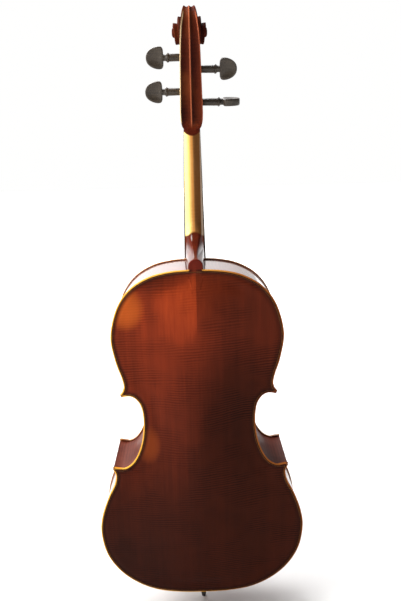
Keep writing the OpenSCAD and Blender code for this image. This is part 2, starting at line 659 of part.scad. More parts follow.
// level of the clamping screw
clamp_z = -22;
// the two runs of the tail cord over the saddle
module gut_run(r) {
  a = [for (s = [-1, 1]) from_tail([s * 7, -5, 22])];
  b = [for (s = [-1, 1]) from_tail([s * 7, -5, 0])];
  c = [for (s = [-1, 1]) [s * 8, -half_d - edge_t - 9.6, 2]];
  d = [for (s = [-1, 1]) [s * 11, -half_d - 6, -3]];
  e = [for (s = [-1, 1]) [s * 13.5, 0, -7]];
  for (j = [0, 1]) {
    rod(a[j], b[j], r);
    rod(b[j], c[j], r);
    rod(c[j], d[j], r);
    rod(d[j], e[j], r);
    for (p = [b[j], c[j], d[j], e[j]]) translate(p) sphere(r = r + 0.04, $fn = 24);
  }
}
module tailgut() {
  color(steel) lift() {
    gut_run(1.5);
    translate([0, 0, -7]) rotate_extrude(angle = 180, $fn = 90)
      translate([13.5, 0]) circle(r = 1.5, $fn = 24);
  }
}
module endpin_plug() {
  color(ebony) lift() difference() {
    union() {
      translate([0, 0, -0.5]) cylinder(r1 = plug_r0 - 0.02, r2 = plug_r1, h = plug_len, $fn = 96);
      translate([0, 0, -14]) rotate_extrude($fn = 96) polygon([[0, 0], [14, 0], [16, 2], [16, 4],
        [14, 5], [11.9, 5.6], [11.9, 8.4], [14, 9], [15.5, 11], [15.5, 13], [14, 13.6], [0, 13.7]]);
    }
    translate([0, 0, -20]) cylinder(r = rod_r + run_fit, h = 80, $fn = 64);
  }
}
module endpin_collar() {
  color(steel) lift() difference() {
    union() {
      translate([0, 0, -30]) cylinder(r = 10, h = 16, $fn = 96);
      translate([0, 8, clamp_z]) rotate([-90, 0, 0]) cylinder(r = 5, h = 6, $fn = 48);
    }
    translate([0, 0, -40]) cylinder(r = rod_r + run_fit, h = 60, $fn = 64);
    translate([0, 0, clamp_z]) rotate([-90, 0, 0]) cylinder(r = 2.55, h = 30, $fn = 48);
  }
}
module endpin_screw() {
  color(steel) lift() {
    translate([0, rod_r + 0.3, clamp_z]) rotate([-90, 0, 0]) cylinder(r = 2.5, h = 16, $fn = 48);
    difference() {
      translate([0, 15, clamp_z]) rotate([-90, 0, 0]) cylinder(r = 6.5, h = 8, $fn = 64);
      for (a = [0:30:330]) translate([6.9 * cos(a), 14, clamp_z + 6.9 * sin(a)])
        rotate([-90, 0, 0]) cylinder(r = 0.9, h = 10, $fn = 16);
    }
  }
}
module endpin_rod() {
  color(steel) lift() {
    translate([0, 0, -tip_drop + 20]) cylinder(r = rod_r, h = rod_len, $fn = 64);
    translate([0, 0, -tip_drop + 10]) cylinder(r1 = 2, r2 = rod_r, h = 10, $fn = 64);
  }
}
module endpin_tip() {
  color(ebony) lift() difference() {
    union() {
      translate([0, 0, -tip_drop]) cylinder(r1 = 4.5, r2 = 7, h = 14, $fn = 64);
      translate([0, 0, -tip_drop + 14]) cylinder(r = 7, h = 14, $fn = 64);
    }
    translate([0, 0, -tip_drop + 20]) cylinder(r = rod_r, h = 20, $fn = 64);
    translate([0, 0, -tip_drop + 10]) cylinder(r1 = 2, r2 = rod_r, h = 10, $fn = 64);
  }
}

// ---- what is drawn ----
back_bass();
back_treble();
top_bass();
top_treble();
back_purfling();
top_purfling();
rib_upper_bass();
rib_upper_treble();
rib_c_bass();
rib_c_treble();
rib_lower_bass();
rib_lower_treble();
back_linings();
top_linings();
neck_block();
end_block();
corner_blocks();
bass_bar();
sound_post();
neck();
fingerboard();
nut();
saddle();
bridge();
tailpiece();
tailgut();
peg_c();
peg_g();
peg_d();
peg_a();
winding_c();
winding_g();
winding_d();
winding_a();
string_c();
string_g();
string_d();
string_a();
lever_c();
lever_g();
lever_d();
lever_a();
ball_c();
ball_g();
ball_d();
ball_a();
screw_c();
screw_g();
screw_d();
screw_a();
knob_c();
knob_g();
knob_d();
knob_a();
endpin_plug();
endpin_collar();
endpin_rod();
endpin_screw();
endpin_tip();
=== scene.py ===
import bpy, bmesh, math
import numpy as np
from mathutils import Vector, Matrix


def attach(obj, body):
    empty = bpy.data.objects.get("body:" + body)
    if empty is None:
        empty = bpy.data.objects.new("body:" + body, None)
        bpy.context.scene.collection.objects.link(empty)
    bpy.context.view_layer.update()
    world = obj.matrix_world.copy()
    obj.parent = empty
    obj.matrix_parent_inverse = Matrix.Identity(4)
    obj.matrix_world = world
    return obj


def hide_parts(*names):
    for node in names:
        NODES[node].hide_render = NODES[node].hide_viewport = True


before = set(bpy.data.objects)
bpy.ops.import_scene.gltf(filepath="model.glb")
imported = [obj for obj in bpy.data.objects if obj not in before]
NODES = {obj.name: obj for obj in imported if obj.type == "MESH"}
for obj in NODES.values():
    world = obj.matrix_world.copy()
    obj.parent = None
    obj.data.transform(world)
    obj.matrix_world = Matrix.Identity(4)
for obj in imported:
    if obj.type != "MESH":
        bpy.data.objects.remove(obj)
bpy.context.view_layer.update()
MM = 0.001

# ---------------------------------------------------------------- sizes shared with the CAD (mm)
# height of the body's bottom edge over the endpin's tip
DROP = 68.0
BODY = 755
# half the height of the ribs at the bottom, which they lose 7 mm of on the way to the neck
HD = 60.0
TAPER = math.atan(7 / BODY)
# thickness of a plate's edge, its overhang past the ribs, and the ribs' thickness
EDGE = 4.5
OVER = 3.5
RIB_T = 1.8
# rounding of a plate's edge, height of the two arches, inner arch as a share of the outer one
RIM_R = 2.1
BACK_ARCH = 26
TOP_ARCH = 24
HOLLOW = 0.93
BRIDGE_Z = 355
# half width of the button and the height of its centre
BUTTON_R = 14.5
BUTTON_Z = 761
# lean and front plane of the neck, its half width at the body, its thickness, the top of the heel
TILT = math.radians(10.5)
NECK_Y = -60 + 7 - 4.5 - 21
NECK_HALF = 20.6
NECK_DEEP = 20.5
HEEL_TOP = 862
# outline of the treble half: upper bout, waist and lower bout, whose end points only steer the curve
UP = [[-50, 752.5], [0, 755], [50, 752.5], [93, 742], [132, 718], [159.5, 679], [174.3, 622],
      [168, 570], [157.5, 534], [154, 516], [155.8, 505], [162.5, 495.6], [171, 486.8]]
MID = [[173, 482.4], [160, 489], [146, 491.6], [135.8, 488.6], [127.6, 480.8], [121, 468.3],
      [117.6, 450], [117.1, 427], [119.3, 403], [124, 380], [131, 360.5], [139, 345],
      [148.2, 333.8], [159.8, 326.5], [173, 324.4], [187.5, 328.5], [202, 337]]
LOW = [[194, 332], [187.6, 322], [182.4, 308], [186.6, 286], [203, 252], [218.4, 207],
      [223.2, 165], [214.5, 113], [189.8, 68], [152.4, 33.4], [106.5, 11], [55, 2], [0, 0], [-55, 2]]


def spline(p, k, closed=False):
    """Smooth curve through the inner points of p, k steps to a span."""
    p = np.array(p, float)
    out = []
    n = len(p)
    rng = range(n) if closed else range(1, n - 2)
    for i in rng:
        a, b, c, d = (p[(i - 1) % n], p[i % n], p[(i + 1) % n], p[(i + 2) % n]) if closed \
            else (p[i - 1], p[i], p[i + 1], p[i + 2])
        for j in range(k):
            t = j / k
            out.append(0.5 * (2 * b + t * (c - a) + t * t * (2 * a - 5 * b + 4 * c - d)
                              + t ** 3 * (3 * b - a - 3 * c + d)))
    if not closed:
        out.append(p[-2])
    return np.array(out)


C_UP, C_MID, C_LOW = spline(UP, 10), spline(MID, 7), spline(LOW, 10)
LINE = np.vstack([C_UP, C_MID, C_LOW])
BUTTON = np.array([[BUTTON_R * math.cos(a), BUTTON_Z + BUTTON_R * math.sin(a)]
                   for a in np.radians(np.arange(90, -1, -7.5))]
                  + [[BUTTON_R, BUTTON_Z - 3], [BUTTON_R, BODY - 0.1]])
LINE_B = np.vstack([BUTTON, LINE[3:]])


def tangents(c):
    t = np.gradient(c, axis=0)
    return t / np.linalg.norm(t, axis=1)[:, None]


def inset(c, d):
    """The curve moved inwards by d mm."""
    t = tangents(c)
    return c + d * np.stack([t[:, 1], -t[:, 0]], 1)


def distance(pts, line):
    """Distance of each point from the polyline, in mm."""
    a, b = line[:-1], line[1:]
    ab = b - a
    q = (ab ** 2).sum(1) + 1e-9
    out = np.empty(len(pts))
    for s in range(0, len(pts), 4000):
        p = pts[s:s + 4000, None, :]
        t = np.clip(((p - a) * ab).sum(2) / q, 0, 1)
        out[s:s + 4000] = np.sqrt((((p - a) - t[..., None] * ab) ** 2).sum(2).min(1))
    return out


def ease(a, b, t):
    """From a to b as t goes from 0 to 1, level at both ends."""
    return a + (b - a) * (0.5 - 0.5 * np.cos(np.pi * t))


def wide(z):
    """Half width over which the arch falls to the edge."""
    return np.where(z < 165, ease(160, 216, np.clip(z / 165, 0, 1)),
           np.where(z < 430, ease(216, 112, np.clip((z - 165) / 265, 0, 1)),
           np.where(z < 620, ease(112, 168, np.clip((z - 430) / 190, 0, 1)),
                    ease(168, 120, np.clip((z - 620) / 135, 0, 1)))))


def step3(t):
    """Smooth step from 0 to 1."""
    t = np.clip(t, 0, 1)
    return t * t * (3 - 2 * t)


def arch(x, z, top, d):
    """Height of the arch, which is top mm at its highest and starts 8 mm inside the outline."""
    return top * np.clip(1 - np.abs((z - 385) / 370) ** 2.6, 0, None) \
        * (0.5 + 0.5 * np.cos(np.pi * np.clip(np.abs(x) / wide(z), 0, 1))) * step3((d - 8) / 38)


def rounding(d):
    """How much of the edge is rounded away, d mm inside the outline."""
    return RIM_R - np.sqrt(np.clip(RIM_R ** 2 - np.clip(RIM_R - d, 0, RIM_R) ** 2, 0, None))


def skin(x, z, top, d, dc):
    """Height of a plate's outer face over its edge plane: rounded rim, scoop, then the arch."""
    rim = -rounding(d)
    scoop = -0.9 * np.exp(-((dc - 9.0) / 4.2) ** 2) * (z < BODY)
    return rim + scoop + arch(x, z, top, dc)


def spine(n, extra):
    """Height on the centre joint that each of the n outline points is drawn towards."""
    nu, nm = len(C_UP) - 1, len(C_MID) - 1
    i = np.arange(n)
    a = nu + extra
    b = a + nm + 1
    return np.where(i <= a, 690 - 145 * i / a, np.where(i <= b, 545 - 250 * (i - a) / (b - a),
                    295 - 225 * (i - b) / (n - 1 - b)))


# ---------------------------------------------------------------- mesh helpers
def mesh_object(name, verts, faces, mat, smooth=True, scale=MM):
    me = bpy.data.meshes.new(name)
    me.from_pydata([tuple(v) for v in np.asarray(verts, float) * scale], [], [tuple(f) for f in faces])
    me.validate()
    me.update()
    if smooth:
        me.shade_smooth()
    o = bpy.data.objects.new(name, me)
    bpy.context.scene.collection.objects.link(o)
    if mat:
        me.materials.append(mat)
    return o


def recalc(o):
    bm = bmesh.new()
    bm.from_mesh(o.data)
    bmesh.ops.recalc_face_normals(bm, faces=bm.faces)
    bm.to_mesh(o.data)
    bm.free()
    o.data.update()
    return o


def apply_all(o):
    """Replaces the mesh by what its modifiers make of it."""
    dg = bpy.context.evaluated_depsgraph_get()
    me = bpy.data.meshes.new_from_object(o.evaluated_get(dg))
    old = o.data
    o.modifiers.clear()
    o.data = me
    bpy.data.meshes.remove(old)
    return o


def sharp_by_angle(o, deg):
    """Smooth shading with hard edges over deg degrees."""
    o.data.shade_smooth()
    bm = bmesh.new()
    bm.from_mesh(o.data)
    lim = math.radians(deg)
    for e in bm.edges:
        e.smooth = len(e.link_faces) != 2 or e.calc_face_angle(0) < lim
    bm.to_mesh(o.data)
    bm.free()


def place(o, body, nodes):
    """Rides on a body, in place of the CAD nodes it stands for."""
    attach(o, body)
    if nodes:
        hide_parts(*nodes)
    return o


def to_row(p):
    """Lifts points from the body to their height over the floor."""
    p = np.array(p, float)
    p[..., 2] += DROP
    return p


def leaning(p, angle, y0, z0):
    """From a plane that leans backwards by angle to the part's frame."""
    p = np.array(p, float)
    c, s = math.cos(angle), math.sin(angle)
    y, z = p[..., 1].copy(), p[..., 2].copy()
    p[..., 1] = y0 + y * c + z * s
    p[..., 2] = z0 - y * s + z * c
    return to_row(p)


def top_frame(p):
    return leaning(p, TAPER, -HD, 0)


def neck_frame(p):
    return leaning(p, TILT, NECK_Y, BODY)


# ---------------------------------------------------------------- material helpers
class Nodes:
    """Short forms for wiring up one node tree."""

    def __init__(self, tree):
        self.t = tree

    def n(self, kind, **kw):
        node = self.t.nodes.new(kind)
        for k, v in kw.items():
            setattr(node, k, v)
        return node

    def link(self, a, b):
        self.t.links.new(a, b)

    def put(self, sock, v):
        if hasattr(v, "links"):
            self.link(v, sock)
        else:
            sock.default_value = v

    def math(self, op, a, b=0.0, c=0.0, clamp=False):
        n = self.n("ShaderNodeMath", operation=op, use_clamp=clamp)
        for i, v in enumerate((a, b, c)):
            self.put(n.inputs[i], v)
        return n.outputs[0]

    def add(self, a, b, clamp=False):
        return self.math("ADD", a, b, clamp=clamp)

    def sub(self, a, b):
        return self.math("SUBTRACT", a, b)

    def mul(self, a, b):
        return self.math("MULTIPLY", a, b)

    def mix(self, f, a, b):
        n = self.n("ShaderNodeMix", data_type="RGBA", blend_type="MIX")
        self.put(n.inputs[0], f)
        for i, v in ((6, a), (7, b)):
            self.put(n.inputs[i], v if hasattr(v, "links") else (*v, 1.0) if len(v) == 3 else v)
        return n.outputs[2]

    def ramp(self, f, stops):
        n = self.n("ShaderNodeValToRGB")
        e = n.color_ramp.elements
        while len(e) < len(stops):
            e.new(0.5)
        for i, (p, c) in enumerate(stops):
            e[i].position = p
            e[i].color = (*c, 1.0) if len(c) == 3 else c
        self.put(n.inputs[0], f)
        return n.outputs[0]

    def range(self, v, a, b, c=0.0, d=1.0, smooth=True):
        n = self.n("ShaderNodeMapRange", interpolation_type="SMOOTHSTEP" if smooth else "LINEAR")
        self.put(n.inputs[0], v)
        for i, x in enumerate((a, b, c, d)):
            n.inputs[i + 1].default_value = x
        return n.outputs[0]

    def coords(self):
        if not hasattr(self, "_co"):
            self._co = self.n("ShaderNodeTexCoord").outputs["Object"]
        return self._co

    def xyz(self):
        if not hasattr(self, "_xyz"):
            n = self.n("ShaderNodeSeparateXYZ")
            self.link(self.coords(), n.inputs[0])
            self._xyz = n.outputs
        return self._xyz

    def vec(self, x, y, z):
        n = self.n("ShaderNodeCombineXYZ")
        for i, v in enumerate((x, y, z)):
            self.put(n.inputs[i], v)
        return n.outputs[0]

    def noise(self, vec, scale, detail, rough):
        n = self.n("ShaderNodeTexNoise")
        self.put(n.inputs["Vector"], vec)
        n.inputs["Scale"].default_value = scale
        n.inputs["Detail"].default_value = detail
        n.inputs["Roughness"].default_value = rough
        return n.outputs["Fac"]

    def scaled(self, vec, s):
        n = self.n("ShaderNodeVectorMath", operation="MULTIPLY")
        self.put(n.inputs[0], vec)
        n.inputs[1].default_value = s
        return n.outputs[0]

    def attr(self, name):
        return self.n("ShaderNodeAttribute", attribute_name=name).outputs["Fac"]


class Mat(Nodes):
    """A new material and its one shader."""

    def __init__(self, name):
        self.m = bpy.data.materials.new(name)
        self.m.use_nodes = True
        super().__init__(self.m.node_tree)
        self.b = self.t.nodes["Principled BSDF"]

    def bump(self, h, strength, dist):
        n = self.n("ShaderNodeBump")
        n.inputs["Strength"].default_value = strength
        n.inputs["Distance"].default_value = dist
        self.put(n.inputs["Height"], h)
        self.link(n.outputs[0], self.b.inputs["Normal"])

    def feed(self, name, v):
        self.link(v, self.b.inputs[name])

    def set(self, **kw):
        for k, v in kw.items():
            self.b.inputs[k.replace("_", " ")].default_value = v


def flames(M, along, across, pitch):
    """Irregular curl stripes, pitch metres apart along the first coordinate, and what gates them."""
    wob = M.noise(M.vec(M.mul(across, 9.0), 0.0, M.mul(along, 26.0)), 1.0, 3.0, 0.55)
    shift = M.mul(M.sub(wob, 0.5), 0.013)
    ph = M.mul(M.add(along, shift), 2 * math.pi / pitch)
    s = M.math("MULTIPLY_ADD", M.math("SINE", ph), 0.5, 0.5)
    gate = M.noise(M.vec(M.mul(across, 11.0), 3.1, M.mul(along, 16.0)), 1.0, 2.0, 0.5)
    return M.mul(s, M.range(gate, 0.36, 0.62)), gate


def spot(M, x, z, x0, z0, rx, rz):
    """Soft round patch, 1 at its middle and 0 outside its radii."""
    dx = M.math("DIVIDE", M.sub(x, x0), rx)
    dz = M.math("DIVIDE", M.sub(z, z0), rz)
    return M.range(M.add(M.mul(dx, dx), M.mul(dz, dz)), 0.0, 1.5, 1.0, 0.0)


def mat_back():
    """Varnished curly maple with a worn golden rim; light and shade are painted into its colour."""
    M = Mat("varnished_back")
    x, _, z = M.xyz()
    along = M.add(z, M.mul(x, 0.05))
    fl, gate = flames(M, along, x, 0.0054)
    grain = M.noise(M.scaled(M.coords(), (260.0, 260.0, 7.0)), 1.0, 4.0, 0.6)
    cloud = M.noise(M.scaled(M.coords(), (7.0, 7.0, 5.0)), 1.0, 3.0, 0.5)
    staves = M.noise(M.vec(M.mul(x, 60.0), 0.0, M.mul(z, 1.5)), 1.0, 2.0, 0.5)
    # painted light and shade: the half of the book-matched joint on the lit side is painted lighter than
    # the other, and both halves are painted darker towards the bottom
    lit = M.mix(M.range(z, 0.685, 0.718), M.range(x, -0.085, 0.050), M.range(x, -0.0004, 0.0004))
    up_l = M.range(z, 0.16, 0.76, 0.08, 0.80, False)
    up_r = M.add(M.range(z, 0.50, 0.74, 0.0, 0.42), M.range(z, 0.20, 0.42, 0.10, 0.04))
    near = M.mul(M.range(x, -0.075, 0.0), M.range(z, 0.52, 0.80, 0.0, 0.10))
    up_r = M.add(up_r, near)
    tone = M.add(M.mul(lit, up_l), M.mul(M.sub(1.0, lit), up_r))
    tone = M.add(tone, M.mul(M.sub(cloud, 0.5), 0.50))
    tone = M.add(tone, M.mul(M.sub(grain, 0.5), 0.20))
    tone = M.add(tone, M.mul(M.sub(staves, 0.5), 0.22))
    # a lighter patch beside the joint, and painted shade near the top edge of the upper left bout
    tone = M.add(tone, M.mul(spot(M, x, z, 0.032, 0.75, 0.045, 0.085), 0.12))
    tone = M.add(tone, M.mul(spot(M, x, z, 0.085, 0.816, 0.080, 0.034), -0.24))
    base = M.ramp(tone, [(0.0, (0.020, 0.0050, 0.0030)), (0.25, (0.046, 0.0085, 0.0042)),
                         (0.50, (0.105, 0.0155, 0.0062)), (0.75, (0.215, 0.028, 0.009)),
                         (1.0, (0.42, 0.055, 0.014))])
    dark = M.mix(M.mul(fl, 0.40), base, (0.020, 0.005, 0.003))
    share = M.add(0.20, M.mul(lit, -0.10))
    hi = M.mul(M.sub(1.0, fl), M.mul(gate, share))
    col = M.mix(hi, dark, (0.34, 0.060, 0.018))
    # painted highlight: a soft reflection of the light on the slope of the lit upper bout, and a fainter
    # one in the waist
    col = M.mix(M.mul(spot(M, x, z, 0.143, 0.748, 0.036, 0.042), 0.62), col, (0.66, 0.13, 0.018))
    col = M.mix(M.mul(spot(M, x, z, 0.110, 0.450, 0.025, 0.042), 0.42), col, (0.36, 0.068, 0.012))
    # worn rim: bare golden wood at the outermost edge, with painted shade just inside it over the scoop
    d = M.attr("edge")
    wear = M.noise(M.coords(), 45.0, 3.0, 0.6)
    shade = M.range(d, 0.0040, 0.0150, 0.78, 0.0)
    col = M.mix(shade, col, (0.022, 0.0055, 0.003))
    rim = M.range(M.add(d, M.mul(M.sub(wear, 0.5), 0.0012)),
                  0.0020, 0.0031, 1.0, 0.0)
    # the button over the edge of the body is varnished all over
    button = M.range(z, 0.8222, 0.8246)
    rim = M.mul(rim, M.sub(1.0, button))
    # the worn rim is painted lighter towards the lit left side and darker towards the right
    rim_col = M.mix(M.range(x, -0.12, 0.06), (0.40, 0.12, 0.022), (0.86, 0.42, 0.055))
    rim_col = M.mix(M.mul(spot(M, x, z, -0.150, 0.548, 0.050, 0.034), 0.85), rim_col,
                    (0.16, 0.026, 0.010))
    # the tips of the corners have gone dark
    ax = M.math("ABSOLUTE", x)
    tips = M.add(spot(M, ax, z, 0.162, 0.5600, 0.006, 0.006), spot(M, ax, z, 0.188, 0.3930, 0.006, 0.006))
    rim_col = M.mix(M.mul(tips, 0.85), rim_col, (0.12, 0.030, 0.012))
    col = M.mix(rim, col, rim_col)
    col = M.mix(M.mul(button, 0.75), col, (0.15, 0.017, 0.010))
    M.feed("Base Color", col)
    M.set(Roughness=0.45, Coat_Weight=0.05, Coat_Roughness=0.16, Coat_IOR=1.45)
    M.set(Specular_IOR_Level=0.02)
    M.bump(M.add(M.mul(grain, 0.5), M.mul(fl, 0.15)), 0.12, 0.0006)
    return M.m


def mat_rib(name, polish, ior, stops):
    """The ribs' maple, with its curl across the strip."""
    M = Mat(name)
    uv = M.n("ShaderNodeUVMap", uv_map="run").outputs[0]
    sep = M.n("ShaderNodeSeparateXYZ")
    M.link(uv, sep.inputs[0])
    u, v = sep.outputs[0], sep.outputs[1]
    fl = flames(M, u, v, 0.0066)[0]
    grain = M.noise(M.vec(M.mul(u, 14.0), M.mul(v, 420.0), 0.0), 1.0, 3.0, 0.6)
    cloud = M.noise(M.scaled(M.coords(), (14.0, 14.0, 9.0)), 1.0, 3.0, 0.5)
    tone = M.add(M.mul(cloud, 0.75), M.mul(grain, 0.25))
    base = M.ramp(tone, list(zip((0.25, 0.5, 0.8), stops)))
    col = M.mix(M.mul(fl, 0.45), base, (0.05, 0.010, 0.006))
    M.feed("Base Color", col)
    # the shoulders keep their full polish, lower down it is rubbed
    M.feed("Coat Weight", M.range(M.xyz()[2], 0.60, 0.72, 0.62 * polish, polish))
    M.set(Roughness=0.38, IOR=ior, Coat_Roughness=0.08, Coat_IOR=1.75)
    M.bump(grain, 0.10, 0.0005)
    return M.m


def mat_top():
    """Varnished spruce with its year rings."""
    M = Mat("varnished_spruce")
    x = M.xyz()[0]
    wob = M.noise(M.scaled(M.coords(), (5.0, 5.0, 2.2)), 1.0, 2.0, 0.5)
    xx = M.add(x, M.mul(M.sub(wob, 0.5), 0.006))
    spac = M.mul(xx, 2 * math.pi / 0.0017)
    lines = M.math("POWER", M.math("MULTIPLY_ADD", M.math("SINE", spac), 0.5, 0.5), 3.0)
    fibre = M.noise(M.scaled(M.coords(), (900.0, 900.0, 12.0)), 1.0, 3.0, 0.6)
    cloud = M.noise(M.scaled(M.coords(), (6.0, 6.0, 4.0)), 1.0, 3.0, 0.5)
    tone = M.math("MULTIPLY_ADD", cloud, 0.8, M.mul(M.sub(fibre, 0.5), 0.25))
    base = M.ramp(tone, [(0.2, (0.16, 0.030, 0.008)), (0.5, (0.34, 0.085, 0.016)),
                         (0.8, (0.52, 0.17, 0.03))])
    col = M.mix(M.mul(lines, 0.45), base, (0.10, 0.020, 0.006))
    d = M.attr("edge")
    wear = M.noise(M.coords(), 45.0, 3.0, 0.6)
    # painted shade just inside the rim, over the scoop
    col = M.mix(M.range(d, 0.0022, 0.012, 0.5, 0.0), col, (0.09, 0.018, 0.006))
    rim = M.range(M.add(d, M.mul(M.sub(wear, 0.5), 0.0012)),
                  0.0012, 0.0021, 1.0, 0.0)
    col = M.mix(rim, col, (0.50, 0.20, 0.035))
    M.feed("Base Color", col)
    M.set(Roughness=0.38, Coat_Weight=0.9, Coat_Roughness=0.09, Coat_IOR=1.5)
    M.bump(M.add(lines, M.mul(fibre, 0.5)), 0.14, 0.0005)
    return M.m


def mat_neck():
    """Bare oiled maple in the hand's reach, varnish on the heel and the head; light and shade are painted
    into the colour of the shaft and the head.
    """
    M = Mat("neck_maple")
    x, y, z = M.xyz()
    along = M.add(z, M.mul(y, 0.25))
    fl = flames(M, along, x, 0.0075)[0]
    grain = M.noise(M.scaled(M.coords(), (420.0, 420.0, 14.0)), 1.0, 4.0, 0.6)
    cloud = M.noise(M.scaled(M.coords(), (22.0, 22.0, 12.0)), 1.0, 3.0, 0.5)
    raw = M.ramp(M.math("MULTIPLY_ADD", grain, 0.4, M.mul(cloud, 0.6)),
                 [(0.2, (0.40, 0.19, 0.060)), (0.5, (0.56, 0.31, 0.11)), (0.8, (0.70, 0.45, 0.19))])
    raw = M.mix(M.mul(fl, 0.35), raw, (0.40, 0.19, 0.06))
    # painted light and shade: the shaft is painted near white on its lit side and brown on its shaded
    # side, with an orange band near the middle and a painted reflection along the far right edge
    raw = M.mix(M.range(x, 0.002, 0.008, 0.0, 0.80), raw, (1.0, 0.66, 0.17))
    raw = M.mix(M.range(x, 0.007, 0.011, 0.0, 0.50), raw, (1.0, 0.90, 0.42))
    raw = M.mix(M.range(x, 0.0035, -0.004, 0.0, 0.88), raw, (0.135, 0.043, 0.010))
    raw = M.mix(M.range(M.math("ABSOLUTE", M.sub(x, 0.0012)), 0.0008, 0.0035, 0.55, 0.0), raw,
                (0.72, 0.27, 0.05))
    raw = M.mix(M.range(x, -0.0138, -0.0154, 0.0, 0.6), raw, (0.70, 0.56, 0.42))
    var = M.ramp(M.math("MULTIPLY_ADD", grain, 0.3, M.mul(cloud, 0.7)),
                 [(0.2, (0.030, 0.0055, 0.0035)), (0.5, (0.095, 0.0135, 0.0058)),
                  (0.8, (0.23, 0.040, 0.012))])
    var = M.mix(M.mul(fl, 0.40), var, (0.020, 0.005, 0.0035))
    # arched borders of the varnish
    bend = M.mul(M.mul(x, x), 26.0)
    lo = M.range(M.add(z, M.mul(bend, 1.4)), 0.880, 0.885, 0.0, 1.0)
    hi = M.range(M.sub(z, M.mul(bend, 1.2)), 1.0715, 1.0750, 1.0, 0.0)
    bare = M.mul(lo, hi)
    rubbed = M.range(cloud, 0.45, 0.75, 0.0, 0.10)
    # painted light and shade on the head: each flute is painted dark against its left wall, which faces
    # away from the light, and warmer towards its right wall, which faces it
    u = M.math("DIVIDE", x, 0.020)
    side = M.sub(M.math("MODULO", M.add(M.mul(u, -1.0), 2.0), 1.0), 0.5)
    head = M.range(z, 1.085, 1.10)
    flute_painted_light = M.mul(head, M.range(side, -0.25, 0.45, 0.0, 0.45))
    flute_painted_shade = M.mul(head, M.range(side, -0.10, -0.45, 0.0, 0.70))
    var = M.mix(flute_painted_light, var, (0.20, 0.034, 0.011))
    var = M.mix(flute_painted_shade, var, (0.022, 0.006, 0.006))
    var = M.mix(M.mul(head, 0.46), var, (0.016, 0.006, 0.005))
    # painted highlight along the centre ridge of the head
    ridge = M.range(M.math("ABSOLUTE", M.sub(x, 0.0003)), 0.0005, 0.0019, 0.55, 0.0)
    var = M.mix(M.mul(ridge, head), var, (0.62, 0.17, 0.075))
    col = M.mix(bare, M.mix(rubbed, var, (0.40, 0.13, 0.03)), raw)
    # the varnish has worn off the chamfers of the head; they are also painted pale on the lit left side as
    # a highlight and darker on the right
    chamfer_wear_and_highlight = M.mix(M.range(x, -0.004, 0.010), (0.42, 0.11, 0.05), (0.92, 0.66, 0.36))
    col = M.mix(M.attr("edge"), col, chamfer_wear_and_highlight)
    M.feed("Base Color", col)
    M.feed("Roughness", M.math("MULTIPLY_ADD", bare, 0.18, 0.30))
    # polish low on the heel, two rubbed bright places above it, a dull sheen on the rest
    gloss = M.add(spot(M, x, z, 0.0060, 0.8725, 0.0022, 0.0060),
                  spot(M, x, z, -0.0015, 0.8660, 0.0014, 0.0024))
    M.feed("Coat Weight", M.add(M.range(z, 0.834, 0.860, 0.45, 0.02), gloss, clamp=True))
    M.set(Coat_Roughness=0.12, Coat_IOR=1.5)
    M.feed("IOR", M.range(z, 0.836, 0.862, 1.5, 1.08))
    M.feed("Specular IOR Level",
           M.sub(M.range(z, 0.836, 0.862, 0.20, 0.02), M.range(z, 0.95, 1.12, 0.0, 0.02)))
    M.bump(grain, 0.08, 0.0005)
    return M.m


def mat_dark(name, lo, hi, coat, scale, bump, spec):
    """Dark close-grained wood: scale is small along the grain."""
    M = Mat(name)
    grain = M.noise(M.scaled(M.coords(), scale), 1.0, 4.0, 0.6)
    cloud = M.noise(M.scaled(M.coords(), (30.0, 30.0, 30.0)), 1.0, 2.0, 0.5)
    col = M.ramp(M.math("MULTIPLY_ADD", grain, 0.6, M.mul(cloud, 0.4)), [(0.25, lo), (0.8, hi)])
    M.feed("Base Color", col)
    M.feed("Roughness", M.math("MULTIPLY_ADD", cloud, 0.15, 0.27))
    M.set(Coat_Weight=coat, Coat_Roughness=0.18)
    M.set(Specular_IOR_Level=spec)
    M.bump(grain, bump, 0.0004)
    return M.m


def mat_wood(name, a, b, c, rough):
    """Plain wood without varnish, with small flecks."""
    M = Mat(name)
    grain = M.noise(M.scaled(M.coords(), (300.0, 300.0, 10.0)), 1.0, 4.0, 0.6)
    fleck = M.noise(M.scaled(M.coords(), (700.0, 200.0, 160.0)), 1.0, 2.0, 0.5)
    col = M.ramp(grain, [(0.2, a), (0.5, b), (0.8, c)])
    col = M.mix(M.range(fleck, 0.62, 0.72, 0.0, 0.35), col, a)
    M.feed("Base Color", col)
    M.set(Roughness=rough)
    M.bump(grain, 0.15, 0.0004)
    return M.m


def mat_metal(name, col, rough):
    """Plated metal, a little uneven."""
    M = Mat(name)
    n = M.noise(M.scaled(M.coords(), (400.0, 400.0, 400.0)), 1.0, 3.0, 0.6)
    dull = tuple(0.72 * c for c in col)
    M.feed("Base Color", M.mix(M.range(n, 0.3, 0.7, 0.0, 0.25), col, dull))
    M.feed("Roughness", M.math("MULTIPLY_ADD", n, 0.12, rough - 0.06))
    M.set(Metallic=1.0)
    M.bump(n, 0.05, 0.0002)
    return M.m


def mat_string(name, col):
    """Flat-wound ribbon, 0.7 mm wide, on a steel core."""
    M = Mat(name)
    z = M.xyz()[2]
    s = M.math("MULTIPLY_ADD", M.math("SINE", M.mul(z, 2 * math.pi / 0.0007)), 0.5, 0.5)
    M.feed("Base Color", M.mix(M.mul(s, 0.35), col, tuple(0.5 * c for c in col)))
    M.set(Metallic=1.0, Roughness=0.34)
    M.bump(s, 0.25, 0.0001)
    return M.m


